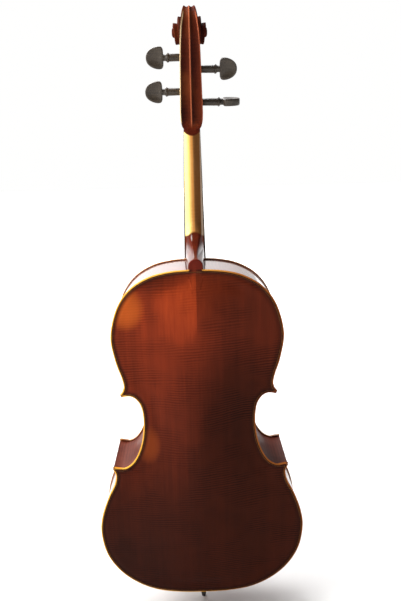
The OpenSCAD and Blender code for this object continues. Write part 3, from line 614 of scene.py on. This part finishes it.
def mat_purf(name, a, b):
    """Dyed or pale strand of the purfling."""
    M = Mat(name)
    n = M.noise(M.scaled(M.coords(), (300.0, 300.0, 300.0)), 1.0, 3.0, 0.6)
    M.feed("Base Color", M.ramp(n, [(0.3, a), (0.7, b)]))
    M.set(Roughness=0.55, Coat_Weight=0.04, Coat_Roughness=0.2)
    M.set(Specular_IOR_Level=0.06)
    return M.m


def mat_rubber():
    M = Mat("rubber")
    n = M.noise(M.coords(), 900.0, 3.0, 0.6)
    shade = M.ramp(n, [(0.3, (0.012, 0.012, 0.012)), (0.7, (0.035, 0.034, 0.033))])
    M.feed("Base Color", shade)
    M.set(Roughness=0.7)
    M.bump(n, 0.2, 0.0003)
    return M.m


def mat_gloss(name, a, b, rough):
    """Even moulded material."""
    M = Mat(name)
    n = M.noise(M.coords(), 260.0, 3.0, 0.6)
    M.feed("Base Color", M.ramp(n, [(0.3, a), (0.7, b)]))
    M.feed("Roughness", M.math("MULTIPLY_ADD", n, 0.1, rough - 0.05))
    M.bump(n, 0.04, 0.0002)
    return M.m


BACK = mat_back()
RIBM = mat_rib("varnished_rib", 1.0, 1.5, ((0.050, 0.009, 0.006), (0.125, 0.022, 0.010),
                                           (0.25, 0.050, 0.018)))
TOP = mat_top()
NECKM = mat_neck()
EBONY = mat_dark("ebony", (0.006, 0.005, 0.005), (0.028, 0.020, 0.016), 0.25,
                 (260.0, 260.0, 9.0), 0.12, 0.5)
PEGM = mat_dark("peg_wood", (0.024, 0.019, 0.014), (0.090, 0.070, 0.052), 0.14,
                (12.0, 300.0, 300.0), 0.02, 0.22)
BRIDGEM = mat_wood("bridge_maple", (0.42, 0.22, 0.085), (0.60, 0.37, 0.17), (0.72, 0.50, 0.27), 0.45)
RAW = mat_wood("raw_wood", (0.50, 0.32, 0.15), (0.66, 0.46, 0.25), (0.78, 0.60, 0.38), 0.7)
NICKEL = mat_metal("nickel", (0.62, 0.61, 0.58), 0.22)
BRASS = mat_metal("brass", (0.62, 0.43, 0.14), 0.26)
STEEL = mat_string("wound_string", (0.50, 0.50, 0.51))
RUBBER = mat_rubber()
BLACK = mat_gloss("tailpiece_black", (0.008, 0.008, 0.008), (0.020, 0.019, 0.018), 0.28)
CORD = mat_gloss("tail_cord", (0.02, 0.02, 0.02), (0.045, 0.043, 0.04), 0.5)
PURF_D = mat_purf("purfling_dark", (0.010, 0.006, 0.004), (0.024, 0.014, 0.010))
PURF_L = mat_purf("purfling_pale", (0.20, 0.070, 0.016), (0.30, 0.115, 0.028))


# ---------------------------------------------------------------- plates
def plate(name, line, high, side, extra, front, mat):
    """Half a plate: fine outer face with rounded rim and scoop, plainer inner face."""
    n = len(line)
    near = np.array([0, .35, .8, 1.3, 1.9, 2.6, 3.4, 4.2, 5.0, 5.8, 6.8, 8.0, 9.4, 11.0, 13.0, 15.5])
    w = np.stack([np.zeros(n), spine(n, extra)], 1) - line
    ln = np.linalg.norm(w, axis=1)
    t = tangents(line)
    c = np.clip(np.abs(w[:, 0] * t[:, 1] - w[:, 1] * t[:, 0]) / ln, 0.5, 1)
    far = np.linspace(0, 1, 22)[1:] ** 1.15
    u0 = np.minimum(near[None, :] / c[:, None] / ln[:, None], 0.5)
    rest = u0[:, -1:] + (1 - u0[:, -1:]) * far[None, :]
    u = np.hstack([u0, rest])
    m = u.shape[1]
    P = line[:, None, :] + u[..., None] * w[:, None, :]
    flat = P.reshape(-1, 2)
    d = distance(flat, line)
    dc = np.where(flat[:, 1] < BODY, distance(flat, LINE), 0)
    h = skin(flat[:, 0], flat[:, 1], high, d, dc)
    ha = HOLLOW * arch(flat[:, 0], flat[:, 1], high, dc)
    under = np.where(d < RIM_R, rounding(d), 0)
    outer = np.stack([side * flat[:, 0], EDGE + h, flat[:, 1]], 1)
    inner = np.stack([side * flat[:, 0], ha + under, flat[:, 1]], 1)
    verts = np.vstack([outer, inner])
    off = n * m
    faces = []
    for i in range(n - 1):
        for j in range(m - 1):
            a, b, cc, dd = i * m + j, i * m + j + 1, (i + 1) * m + j + 1, (i + 1) * m + j
            faces.append((a, b, cc, dd))
            faces.append((off + a, off + dd, off + cc, off + b))
        faces.append((i * m, (i + 1) * m, off + (i + 1) * m, off + i * m))
        e = m - 1
        faces.append((i * m + e, off + i * m + e, off + (i + 1) * m + e, (i + 1) * m + e))
    for j in range(m - 1):
        faces.append((j, off + j, off + j + 1, j + 1))
        e = (n - 1) * m
        faces.append((e + j, e + j + 1, off + e + j + 1, off + e + j))
    if side < 0:
        faces = [f[::-1] for f in faces]
    if front:
        verts = verts * np.array([1, -1, 1])
        faces = [f[::-1] for f in faces]
        verts = top_frame(verts)
    else:
        verts[:, 1] += HD
        verts = to_row(verts)
    o = mesh_object(name, verts, faces, mat)
    at = o.data.attributes.new("edge", "FLOAT", "POINT")
    dd = np.where(d > 0, d, 0) * MM
    at.data.foreach_set("value", np.concatenate([dd, dd]).astype(np.float32))
    sharp_by_angle(o, 60)
    return o


def flat_ribbon(name, high, front, strands):
    """Purfling: thin strands that follow the scoop a set way in from the edge, mitred at the corners."""
    V, F, MI = [], [], []
    for side in (-1, 1):
        for a, b, mi in strands:
            for c in (C_UP, C_MID, C_LOW):
                pa, pb = inset(c, a), inset(c, b)
                for q in (pa, pb):
                    q[:, 0] = np.clip(q[:, 0], 0, None)
                mid = (pa + pb) / 2
                ok = distance(mid, LINE) > (a + b) / 2 - 0.12
                h = []
                for q in (pa, pb):
                    d = distance(q, LINE)
                    h.append(EDGE + skin(q[:, 0], q[:, 1], high, d, d) + 0.07)
                for i in range(len(c) - 1):
                    if not (ok[i] and ok[i + 1]):
                        continue
                    s = len(V)
                    corners = ((pa, h[0], i), (pb, h[1], i), (pb, h[1], i + 1), (pa, h[0], i + 1))
                    for deep in (0.0, 0.6):
                        for q, hh, k in corners:
                            V.append((side * q[k, 0], hh[k] - deep, q[k, 1]))
                    F += [(s, s + 1, s + 2, s + 3), (s, s + 4, s + 5, s + 1), (s + 3, s + 2, s + 6, s + 7)]
                    MI += [mi] * 3
    V = np.array(V)
    if front:
        V = top_frame(V * np.array([1, -1, 1]))
    else:
        V[:, 1] += HD
        V = to_row(V)
    o = mesh_object(name, V, F, PURF_D)
    o.data.materials.append(PURF_L)
    o.data.polygons.foreach_set("material_index", MI)
    bm = bmesh.new()
    bm.from_mesh(o.data)
    bmesh.ops.remove_doubles(bm, verts=bm.verts, dist=2e-6)
    bmesh.ops.recalc_face_normals(bm, faces=bm.faces)
    bm.to_mesh(o.data)
    bm.free()
    # faces look outwards
    s = -1 if front else 1
    ny = np.array([p.normal.y for p in o.data.polygons])
    if (ny * s).mean() < 0:
        o.data.flip_normals()
    return o


for s, nm in ((-1, "bass"), (1, "treble")):
    o = plate("back_plate_" + nm, LINE_B, BACK_ARCH, s, len(BUTTON) - 3, False, BACK)
    place(o, "body", ["back_" + nm])

F_PTS = [[48, 398], [46, 404], [44.8, 412], [51, 419], [60, 418], [67, 403], [71, 378], [74, 354],
         [77, 330], [82, 305], [89, 290], [99, 287], [106.5, 294], [104, 304], [99, 310]]


def f_cutter(side):
    """Cutting bodies of one sound hole: its slot, two eyes and two nicks."""
    c = spline(F_PTS, 8)
    t = tangents(c)
    nrm = np.stack([t[:, 1], -t[:, 0]], 1)
    u = np.linspace(0, 1, len(c))
    w = 1.6 + 2.9 * np.clip(np.sin(np.pi * u), 0, None) ** 0.8
    rings = [np.vstack([c + w[:, None] * nrm, (c - w[:, None] * nrm)[::-1]])]
    for (cx, cz), r in (((50, 406), 6.0), ((97, 303), 8.0)):
        a = np.linspace(0, 2 * math.pi, 40, endpoint=False)
        rings.append(np.stack([cx + r * np.cos(a), cz + r * np.sin(a)], 1))
    # the two small nicks at the bridge line
    for s in (-1, 1):
        k = int(np.argmin(np.abs(c[:, 1] - BRIDGE_Z)))
        p = c[k] + s * (w[k] - 0.5) * nrm[k]
        rings.append(np.array([p + 2.0 * t[k], p - 2.0 * t[k], p + s * 3.2 * nrm[k]]))
    objs = []
    for i, r in enumerate(rings):
        r = r * np.array([side, 1])
        V = np.vstack([np.stack([r[:, 0], np.full(len(r), y), r[:, 1]], 1) for y in (-45, 5)])
        m = len(r)
        F = [tuple(range(m)), tuple(range(2 * m - 1, m - 1, -1))] \
            + [(k, k + m, (k + 1) % m + m, (k + 1) % m) for k in range(m)]
        q = recalc(mesh_object("cut%d" % i, top_frame(V), F, None, False))
        objs.append(q)
    return objs


def cut(o, cutters):
    for q in cutters:
        m = o.modifiers.new("cut", "BOOLEAN")
        m.operation, m.object, m.solver = "DIFFERENCE", q, "EXACT"
    apply_all(o)
    for q in cutters:
        bpy.data.objects.remove(q)
    return o


for s, nm in ((-1, "bass"), (1, "treble")):
    o = plate("top_plate_" + nm, LINE, TOP_ARCH, s, 0, True, TOP)
    cut(o, f_cutter(s))
    sharp_by_angle(o, 50)
    place(o, "body", ["top_" + nm])

# two dark strands with a pale one between them: from, to, material
STRANDS = ((4.2, 4.7, 0), (4.7, 5.15, 1), (5.15, 5.6, 0))
place(flat_ribbon("purfling_back", BACK_ARCH, False, STRANDS), "body", ["back_purfling"])
place(flat_ribbon("purfling_top", TOP_ARCH, True, STRANDS), "body", ["top_purfling"])


# ---------------------------------------------------------------- ribs
def rib(name, c, side, i0, i1, node, mat=RIBM):
    """A bent strip with its own length as a map for the curl."""
    a, b = inset(c, OVER)[i0:i1], inset(c, OVER + RIB_T)[i0:i1]
    n = len(a)
    run = np.concatenate([[0], np.cumsum(np.linalg.norm(np.diff(a, axis=0), axis=1))])
    rows = 5
    V, UV = [], []
    for q in (a, b):
        yt = -HD + q[:, 1] * math.tan(TAPER)
        for k in range(rows):
            y = HD + (yt - HD) * k / (rows - 1)
            V.append(np.stack([side * q[:, 0], y, q[:, 1]], 1))
            UV.append(np.stack([run * MM + side * 0.13, y * MM], 1))
    V, UV = np.vstack(V), np.vstack(UV)
    F = []
    for g in (0, 1):
        for k in range(rows - 1):
            for i in range(n - 1):
                s = g * rows * n + k * n + i
                F.append((s, s + 1, s + n + 1, s + n))
    for k in (0, rows - 1):
        for i in range(n - 1):
            s, e = k * n + i, rows * n + k * n + i
            F.append((s, e, e + 1, s + 1))
    for i in (0, n - 1):
        for k in range(rows - 1):
            s, e = k * n + i, rows * n + k * n + i
            F.append((s, s + n, e + n, e))
    o = recalc(mesh_object(name, to_row(V), F, mat))
    uv = o.data.uv_layers.new(name="run")
    for l in o.data.loops:
        uv.data[l.index].uv = UV[l.vertex_index]
    sharp_by_angle(o, 40)
    place(o, "body", [node])


# the waist is handled most and has lost its shine
RIBC = mat_rib("varnished_rib_waist", 0.03, 1.14, ((0.050, 0.011, 0.007), (0.105, 0.023, 0.013),
                                                   (0.19, 0.046, 0.025)))
for s, nm in ((-1, "bass"), (1, "treble")):
    k0 = int(np.argmax(inset(C_UP, OVER)[:, 0] > 14.0))
    rib("rib_up_" + nm, C_UP, s, k0, len(C_UP) - 4, "rib_upper_" + nm)
    rib("rib_mid_" + nm, C_MID, s, 1, len(C_MID) - 1, "rib_c_" + nm, RIBC)
    rib("rib_low_" + nm, C_LOW, s, 3, len(C_LOW), "rib_lower_" + nm)


# ---------------------------------------------------------------- neck and head
def ring_tube(sections):
    """Closed skin through equal-length closed sections."""
    S = [np.array(s, float) for s in sections]
    m = len(S[0])
    V = np.vstack(S)
    F = []
    for a in range(len(S) - 1):
        for i in range(m):
            j = (i + 1) % m
            F.append((a * m + i, a * m + j, (a + 1) * m + j, (a + 1) * m + i))
    F.append(tuple(range(m - 1, -1, -1)))
    F.append(tuple((len(S) - 1) * m + i for i in range(m)))
    return V, F


def fall(z, a, b):
    """From 1 at height a to 0 at height b, steep at first."""
    return (1 - min(1, max(0, (z - a) / (b - a)))) ** 3.2


def neck_slice(z):
    """Level section of the neck: flat in front, rounded behind, squarer in the heel."""
    button_top = BUTTON_Z + 14
    front = NECK_Y + (z - BODY) * math.tan(TILT)
    reach = 1 if z <= button_top - 2 else fall(z, button_top - 2, HEEL_TOP)
    back = front + NECK_DEEP + (HD - front - NECK_DEEP) * reach
    w = NECK_HALF - 5 * (z - BODY) / 275
    if z <= BUTTON_Z:
        b = BUTTON_R
    elif z < button_top:
        b = math.sqrt(BUTTON_R ** 2 - (z - BUTTON_Z) ** 2)
    else:
        b = 4 + 8 * (z - button_top) / 60
    b = min(b, w)
    f = float(step3((z - 772) / 60))
    f2 = float(step3((z - 780) / 60))
    n = 2 + 9 * (1 - f)
    out = []
    for a in np.linspace(0, math.pi, 57):
        v = math.sin(a) ** (2 / n) if math.sin(a) > 1e-9 else 0
        h = math.copysign(abs(math.cos(a)) ** (2 / n), math.cos(a))
        ww = w + (b - w) * v * (1 - f2)
        out.append((ww * h, front + (back - front) * v, z))
    return out


def merged(name, parts, voxel, mat, smooth):
    """One skin round overlapping closed parts."""
    V, F, off = [], [], 0
    for v, f in parts:
        V.append(v)
        F += [tuple(i + off for i in q) for q in f]
        off += len(v)
    o = recalc(mesh_object(name, np.vstack(V), F, mat))
    m = o.modifiers.new("re", "REMESH")
    m.mode, m.voxel_size, m.adaptivity = "VOXEL", voxel * MM, 0.0
    q = o.modifiers.new("sm", "SMOOTH")
    q.factor, q.iterations = 0.5, smooth
    apply_all(o)
    o.data.materials.clear()
    o.data.materials.append(mat)
    o.data.shade_smooth()
    return o


# the eye of the volute, and the thickness of the back of the head above the pegbox
EYE_Y, EYE_Z = 8.0, 440.0
BAND = 9.5
# half width of the back of the head at its heights, and of the volute at its angles
HEAD_Z = [268, 276, 290, 305, 330, 395, 420]
HEAD_HALF = [15.5, 18.6, 21.0, 21.6, 21.0, 19.3, 18.4]
VOLUTE_A = [-108, -90, -60, -30, 0, 60, 120, 180, 270, 360, 450, 540, 630, 720, 800]
VOLUTE_HALF = [18.1, 17.4, 15.4, 12.2, 9.6, 10.2, 11.9, 14.2, 18.2, 21.2, 23.8, 26.2, 28.6, 30.4, 31.4]


def head_half(z):
    return np.interp(z, HEAD_Z, HEAD_HALF)


def vol_r(a):
    """Radius of the volute a degrees from its crest."""
    return 44 * math.exp(-0.0014 * a)


def band_section(p, nrm, hw, thick, flute, ch, scoop):
    """Section of the fluted band: p is its back centre, nrm points outwards, both (y, z)."""
    k = 10
    pts = []
    for i in range(-k, k + 1):
        u = abs(i) / k
        x = i / k * (hw - ch)
        pts.append((x, -flute * math.sin(math.pi * u) ** 0.9 if 0 < u < 1 else 0.0))
    wall = thick - ch
    side = [(hw, -ch), (hw - scoop, -ch - 0.35 * wall), (hw - scoop * 0.9, -ch - 0.7 * wall),
            (hw - scoop * 0.2, -thick)]
    pts = pts + side + [(-x, d) for x, d in side[::-1]]
    return [(x, p[0] + d * nrm[0], p[1] + d * nrm[1]) for x, d in pts]


def head_parts():
    """Sections of the band that makes the back of the head and winds up into the volute."""
    # centre line of the back of the head in (y, z)
    path = spline([[20, 262], [24, 272], [33, 276.5], [42, 282.5], [47.6, 291], [49.6, 303], [49.2, 318],
                   [47.6, 334], [46.2, 350], [45.8, 366], [46.8, 382], [49.0, 396], [52.2, 409],
                   [55.0, 421]], 6)
    data = [(y, z, head_half(z), BAND, 3.0) for y, z in path[:-1]]
    for a in np.arange(-108, 800, 6.0):
        r = vol_r(a)
        y = EYE_Y - r * math.sin(math.radians(a))
        z = EYE_Z + r * math.cos(math.radians(a))
        thick = min(r - 2.0, r - vol_r(a + 360) + 3.0)
        if a <= -40:
            thick = BAND + (thick - BAND) * (a + 108) / 68
        half = float(np.interp(a, VOLUTE_A, VOLUTE_HALF))
        flute = float(np.interp(a, [-108, 0, 200, 400], [3.0, 2.6, 1.9, 1.5]))
        data.append((y, z, half, thick, flute))
    secs = []
    for (y, z, half, thick, flute), t in zip(data, tangents(np.array([d[:2] for d in data]))):
        scoop = 1.3 if len(secs) > 80 else 0.4
        secs.append(band_section((y, z), (t[1], -t[0]), half, thick, flute, 1.3, scoop))
    return secs


def eye_ring(x, r):
    """Circle round the eye of the volute, x mm to the side."""
    n = 48
    a = np.linspace(0, 2 * math.pi, n, endpoint=False)
    return neck_frame(np.stack([np.full(n, x), EYE_Y + r * np.cos(a), EYE_Z + r * np.sin(a)], 1))


def volute_core():
    """Eye of the volute and the filling between its turns."""
    # a low rounded button on a cylinder
    half = [(9.0, 27), (8.4, 29.8), (6.8, 31.5), (4, 32.3), (0, 32.4)]
    eye = [(r, -x) for r, x in half[::-1]] + half
    parts = [ring_tube([eye_ring(x, max(r, 0.05)) for r, x in eye])]
    for r, hw in ((27, 15), (20, 20), (15, 24)):
        parts.append(ring_tube([eye_ring(x, r) for x in (-hw, hw)]))
    return parts


def cheeks():
    """The two side walls of the pegbox."""
    z = [286, 296, 310, 330, 350, 370, 390, 402, 412]
    back_half = head_half(z) - 0.4
    front_half = np.interp(z, [286, 300, 400, 412], [17.6, 18.0, 15.6, 15.2])
    front = np.interp(z, [286, 340, 396, 412], [0, 2, 5, 12])
    back = np.interp(z, [286, 292, 303, 318, 350, 366, 396, 412], [36, 42, 44, 44, 41, 40, 43, 46])
    inner = np.interp(z, [286, 300, 400, 412], [11.5, 11.5, 8.6, 8.4])
    parts = []
    for s in (-1, 1):
        rings = []
        for h, b, f, y0, y1, i in zip(z, back_half, front_half, front, back, inner):
            outer = [(f - 1.2, y0), (f, y0 + 1.2), (f + 0.55 * (b - f), y0 + 0.5 * (y1 - y0)), (b, y1)]
            section = [(i, y0)] + outer + [(i, y1)]
            rings.append(neck_frame(np.array([(s * x, y, h) for x, y in section])))
        parts.append(ring_tube(rings))
    return parts


def box_ends():
    """Solid ends of the pegbox: the block under the nut, and the throat below the volute."""
    # height, front, back and half width of each section
    chin = [(262, 0, 20, 15.2), (272, 0, 24, 16.2), (280, 0, 34, 17.4), (288, 0, 40, 18.6),
            (294, 6, 43, 19.5)]
    throat = [(409, 11, 46, 17.0), (412, 13, 46, 17.0), (416, 15, 46, 16.9), (424, 18, 46, 16.5)]
    low = []
    for z, f, b, w in chin:
        flank = f + (b - f) * 0.55
        right = [(w * 0.98, f), (w, f), (w, flank), (w * 0.9, b - 3), (w * 0.5, b)]
        low.append(neck_frame(np.array([(x, y, z) for x, y in right + [(-x, y) for x, y in right[::-1]]])))
    high = [neck_frame(np.array([(-w, f, z), (w, f, z), (w, b, z), (-w, b, z)])) for z, f, b, w in throat]
    return [ring_tube(low), ring_tube(high)]


def shaft():
    """Shaft and heel of the neck, and the foot of the heel that goes into the body."""
    levels = [755, 757, 759, 761, 764, 767, 769, 771, 773, 774.5, 776, 778.5, 782, 786.5, 791, 796,
              801, 807, 814, 822, 832, 844, 858, 880, 910, 950, 990, 1022]
    half = [(NECK_HALF, -79.5), (BUTTON_R, HD - 0.05)]
    rings = []
    for z in (748, 756):
        # below the top of the body the foot is cut back behind the front plate
        right = [(x, y if z > 749 or y > -60 else -56, z) for x, y in half]
        left = [(-x, y, z) for x, y, z in right]
        rings.append(to_row(np.array([left[0], right[0], right[1], left[1]])))
    return [ring_tube([to_row(np.array(neck_slice(z))) for z in levels]), ring_tube(rings)]


def head_mesh():
    band = ring_tube([neck_frame(np.array(s)) for s in head_parts()])
    return [band] + volute_core() + cheeks() + box_ends() + shaft()


neck = merged("neck_and_head", head_mesh(), 0.75, NECKM, 1)
# each peg's place in the neck frame, its side, the distance of its head, and its turn in degrees
PEG = {"c": (20, 320, -1, 60.0, 90), "g": (21, 378, -1, 54.0, 0), "d": (24, 399, 1, 49.0, 0),
       "a": (25, 340, 1, 53.5, 0)}


def peg_matrix(y, z, s):
    """From a peg's own axis, which points to its head, to the part's frame."""
    o = neck_frame(np.array([0.0, y, z])) * MM
    ax = Vector((s, 0, 0))
    up = Vector((0, math.sin(TILT), math.cos(TILT)))
    side = up.cross(ax)
    M = Matrix((tuple(up), tuple(side), tuple(ax))).transposed().to_4x4()
    M.translation = Vector(o)
    return M


def lathe(profile, n=48):
    """Rings of a turned shape from its radii and places along the axis."""
    a = np.linspace(0, 2 * math.pi, n, endpoint=False)
    ring = np.stack([np.cos(a), np.sin(a), np.zeros(n)], 1)
    return [max(r, 1e-3) * ring + np.array([0, 0, z]) for r, z in profile]


# tapered holes for the pegs
cutters = []
for y, z, s, _, _ in PEG.values():
    V, F = ring_tube(lathe([(5.75, -26), (7.06, 43)]))
    q = recalc(mesh_object("bore", V, F, None, False))
    q.data.transform(peg_matrix(y, z, s))
    cutters.append(q)
cut(neck, cutters)
sharp_by_angle(neck, 62)


def chamfer_wear_and_highlight_mask(o):
    """Marks the outer edges of the fluted back of the head."""
    p = np.empty(len(o.data.vertices) * 3, np.float32)
    o.data.vertices.foreach_get("co", p)
    p = p.reshape(-1, 3) / MM - np.array([0, NECK_Y, BODY + DROP])
    c, s = math.cos(TILT), math.sin(TILT)
    y, z = p[:, 1] * c - p[:, 2] * s, p[:, 1] * s + p[:, 2] * c
    hw = np.interp(z, [276, 290, 305, 330, 395, 420, 450, 484],
                   [18.6, 21.0, 21.6, 21.0, 19.3, 18.1, 15.4, 9.6])
    near = np.exp(-((hw - 0.7 - np.abs(p[:, 0])) / 0.9) ** 2)
    near *= np.clip((z - 284) / 6, 0, 1) * np.clip((478 - z) / 12, 0, 1) * np.clip((y - 34) / 4, 0, 1)
    at = o.data.attributes.new("edge", "FLOAT", "POINT")
    at.data.foreach_set("value", near.astype(np.float32))


chamfer_wear_and_highlight_mask(neck)
place(neck, "body", ["neck"])


# ---------------------------------------------------------------- pegs
def peg(name, y, z, s, h, turn):
    """A tapered peg with its turned collar and thumb piece."""
    # shaft, collar and stem: radius and place along the axis
    turned = [(5.6, -19.3), (5.79, -18.9), (7.0, 42), (7.1, h - 10.5), (7.6, h - 10), (8.3, h - 9),
              (8.5, h - 7.8), (8.2, h - 6.6), (7.4, h - 5.8), (6.4, h - 5.2), (5.9, h - 4), (5.8, h - 2),
              (6.0, h + 0.5), (6.2, h + 3), (5.4, h + 6), (0, h + 10)]
    V, F = ring_tube(lathe(turned, 56))
    # the thumb piece: a heart-like pad, thin in the middle, full at its rim
    half_out = [[0.2, 9], [0.8, 14.6], [3.2, 18.3], [7.5, 19.4], [13, 18.9], [19, 17.2], [25, 14],
                [29.6, 9.4], [31.8, 4.2]]
    out = spline([[0, 0]] + half_out + [[32.2, 0]] + [[a, -b] for a, b in half_out[::-1]], 5, True)
    c = np.array([15, 0])
    rho = [0.0, 0.2, 0.4, 0.58, 0.72, 0.83, 0.91, 0.96, 0.985, 1.0]
    half = [3.9, 4.0, 4.4, 5.1, 5.8, 6.3, 6.5, 6.1, 5.0, 3.4]
    n = len(out)
    rings = []
    for sgn in (1, -1):
        rr = list(zip(rho, half))
        for rh, hf in (rr if sgn > 0 else rr[::-1]):
            p = c + max(rh, 0.004) * (out - c)
            rings.append(np.stack([p[:, 1], np.full(n, sgn * hf), h + p[:, 0]], 1))
    off = len(V)
    v2, f2 = ring_tube(rings)
    V = np.vstack([V, v2])
    F += [tuple(i + off for i in q) for q in f2]
    o = recalc(mesh_object("peg_full_" + name, V, F, PEGM))
    o.data.transform(peg_matrix(y, z, s) @ Matrix.Rotation(math.radians(turn), 4, "Z"))
    sharp_by_angle(o, 48)
    place(o, "peg_" + name, ["peg_" + name])


for k, (y, z, s, h, turn) in PEG.items():
    peg(k, y, z, s, h, turn)

# ---------------------------------------------------------------- carried-over CAD nodes
MATS = {"fingerboard": EBONY, "nut": EBONY, "saddle": EBONY, "bridge": BRIDGEM, "tailpiece": BLACK,
        "tailgut": CORD, "endpin_plug": EBONY, "endpin_collar": NICKEL, "endpin_rod": NICKEL,
        "endpin_screw": NICKEL, "endpin_tip": RUBBER}
FAMILY = {"string": STEEL, "winding": STEEL, "ball": BRASS, "screw": BRASS, "knob": BRASS, "lever": NICKEL}
# edges broken on the bench, mm
BEVEL = {"fingerboard": 0.7, "nut": 0.3, "saddle": 0.8, "bridge": 0.5, "tailpiece": 0.5,
         "endpin_plug": 0.4, "endpin_collar": 0.4}
for n, o in NODES.items():
    if o.hide_render:
        continue
    o.data.materials.clear()
    o.data.materials.append(MATS.get(n) or FAMILY.get(n.split("_")[0], RAW))
    if n in BEVEL:
        b = o.modifiers.new("bevel", "BEVEL")
        b.width, b.segments = BEVEL[n] * MM, 2
        b.limit_method, b.angle_limit = "ANGLE", math.radians(35)
        b.harden_normals = True


# ---------------------------------------------------------------- studio
def floor_sheet():
    """Pale floor, wide enough to meet the horizon."""
    M = Mat("studio_floor")
    n = M.noise(M.coords(), 3.0, 3.0, 0.6)
    M.feed("Base Color", M.ramp(n, [(0.3, (0.74, 0.735, 0.73)), (0.7, (0.80, 0.795, 0.79))]))
    M.set(Roughness=0.6)
    M.bump(n, 0.02, 0.002)
    # far away the floor fades into the white of the backdrop
    x, y, _ = M.xyz()
    far = M.math("SQRT", M.add(M.mul(x, x), M.mul(y, y)))
    M.set(Emission_Color=(1.0, 1.0, 0.995, 1.0))
    M.feed("Emission Strength", M.range(far, 1.0, 3.4, 0.0, 1.0))
    k = 25
    g = np.linspace(-1, 1, k)
    g = 14 * np.sign(g) * np.abs(g) ** 2
    V = [(x, y, 0.0) for y in g for x in g]
    corners = [i * k + j for i in range(k - 1) for j in range(k - 1)]
    F = [(q, q + 1, q + k + 1, q + k) for q in corners]
    mesh_object("floor", V, F, M.m, True, 1.0)


floor_sheet()


def area(name, loc, target, size, power, colour, sy=None):
    """Soft light that faces its target."""
    l = bpy.data.lights.new(name, "AREA")
    l.shape = "RECTANGLE"
    l.size, l.size_y = size, sy or size
    l.energy, l.color = power, colour
    o = bpy.data.objects.new(name, l)
    bpy.context.scene.collection.objects.link(o)
    o.location = loc
    o.rotation_mode = "QUATERNION"
    o.rotation_quaternion = (Vector(target) - Vector(loc)).to_track_quat("-Z", "Y")


area("key_left", (1.9, 0.75, 1.75), (0.05, 0.03, 0.85), 0.9, 52, (1.0, 0.985, 0.96), 1.3)
area("over", (0.5, -0.5, 2.9), (0.0, -0.2, 0.5), 1.8, 60, (1.0, 1.0, 1.0), 1.2)
area("far_floor", (1.5, -2.4, 2.6), (0.0, -3.2, 0.0), 2.6, 150, (1.0, 1.0, 1.0))

# surroundings: a bright pale wall behind and to the light's side, a dim room in front
w = bpy.data.worlds.new("studio")
bpy.context.scene.world = w
w.use_nodes = True
W = Nodes(w.node_tree)
bg = W.t.nodes["Background"]
d = W.n("ShaderNodeTexCoord").outputs["Generated"]
dot = W.n("ShaderNodeVectorMath", operation="DOT_PRODUCT")
W.link(d, dot.inputs[0])
dot.inputs[1].default_value = (0.45, -0.85, 0.28)
glow = W.range(dot.outputs["Value"], -0.35, 0.75, 0.05, 0.85)
bright = W.range(dot.outputs["Value"], 0.72, 0.97, 0.0, 1.0)
env = W.mix(bright, W.mix(glow, (0.02, 0.02, 0.021), (1.0, 1.0, 1.0)), (1.7, 1.62, 1.6))
seen = W.n("ShaderNodeLightPath").outputs["Is Camera Ray"]
W.link(W.mix(seen, env, (1.0, 1.0, 0.995)), bg.inputs[0])
bg.inputs[1].default_value = 1.0

# the viewing angle is given by a focal length of 559.65 for a picture 601 high
cam = bpy.data.cameras.new("camera")
cam.sensor_width, cam.lens = 36.0, 36.0 * 559.65 / 601
cam.clip_start, cam.clip_end = 0.05, 30
co = bpy.data.objects.new("camera", cam)
bpy.context.scene.collection.objects.link(co)
right = Vector((-0.99959, 0.01747, -0.02278))
up = Vector((-0.02658, -0.26406, 0.96414))
back = Vector((0.01083, 0.96435, 0.26442))
R = Matrix((right, up, back)).transposed().to_4x4()
R.translation = Vector((0.00392, 1.12521, 1.05183))
co.matrix_world = R
bpy.context.scene.camera = co
bpy.context.scene.view_settings.view_transform = "Standard"
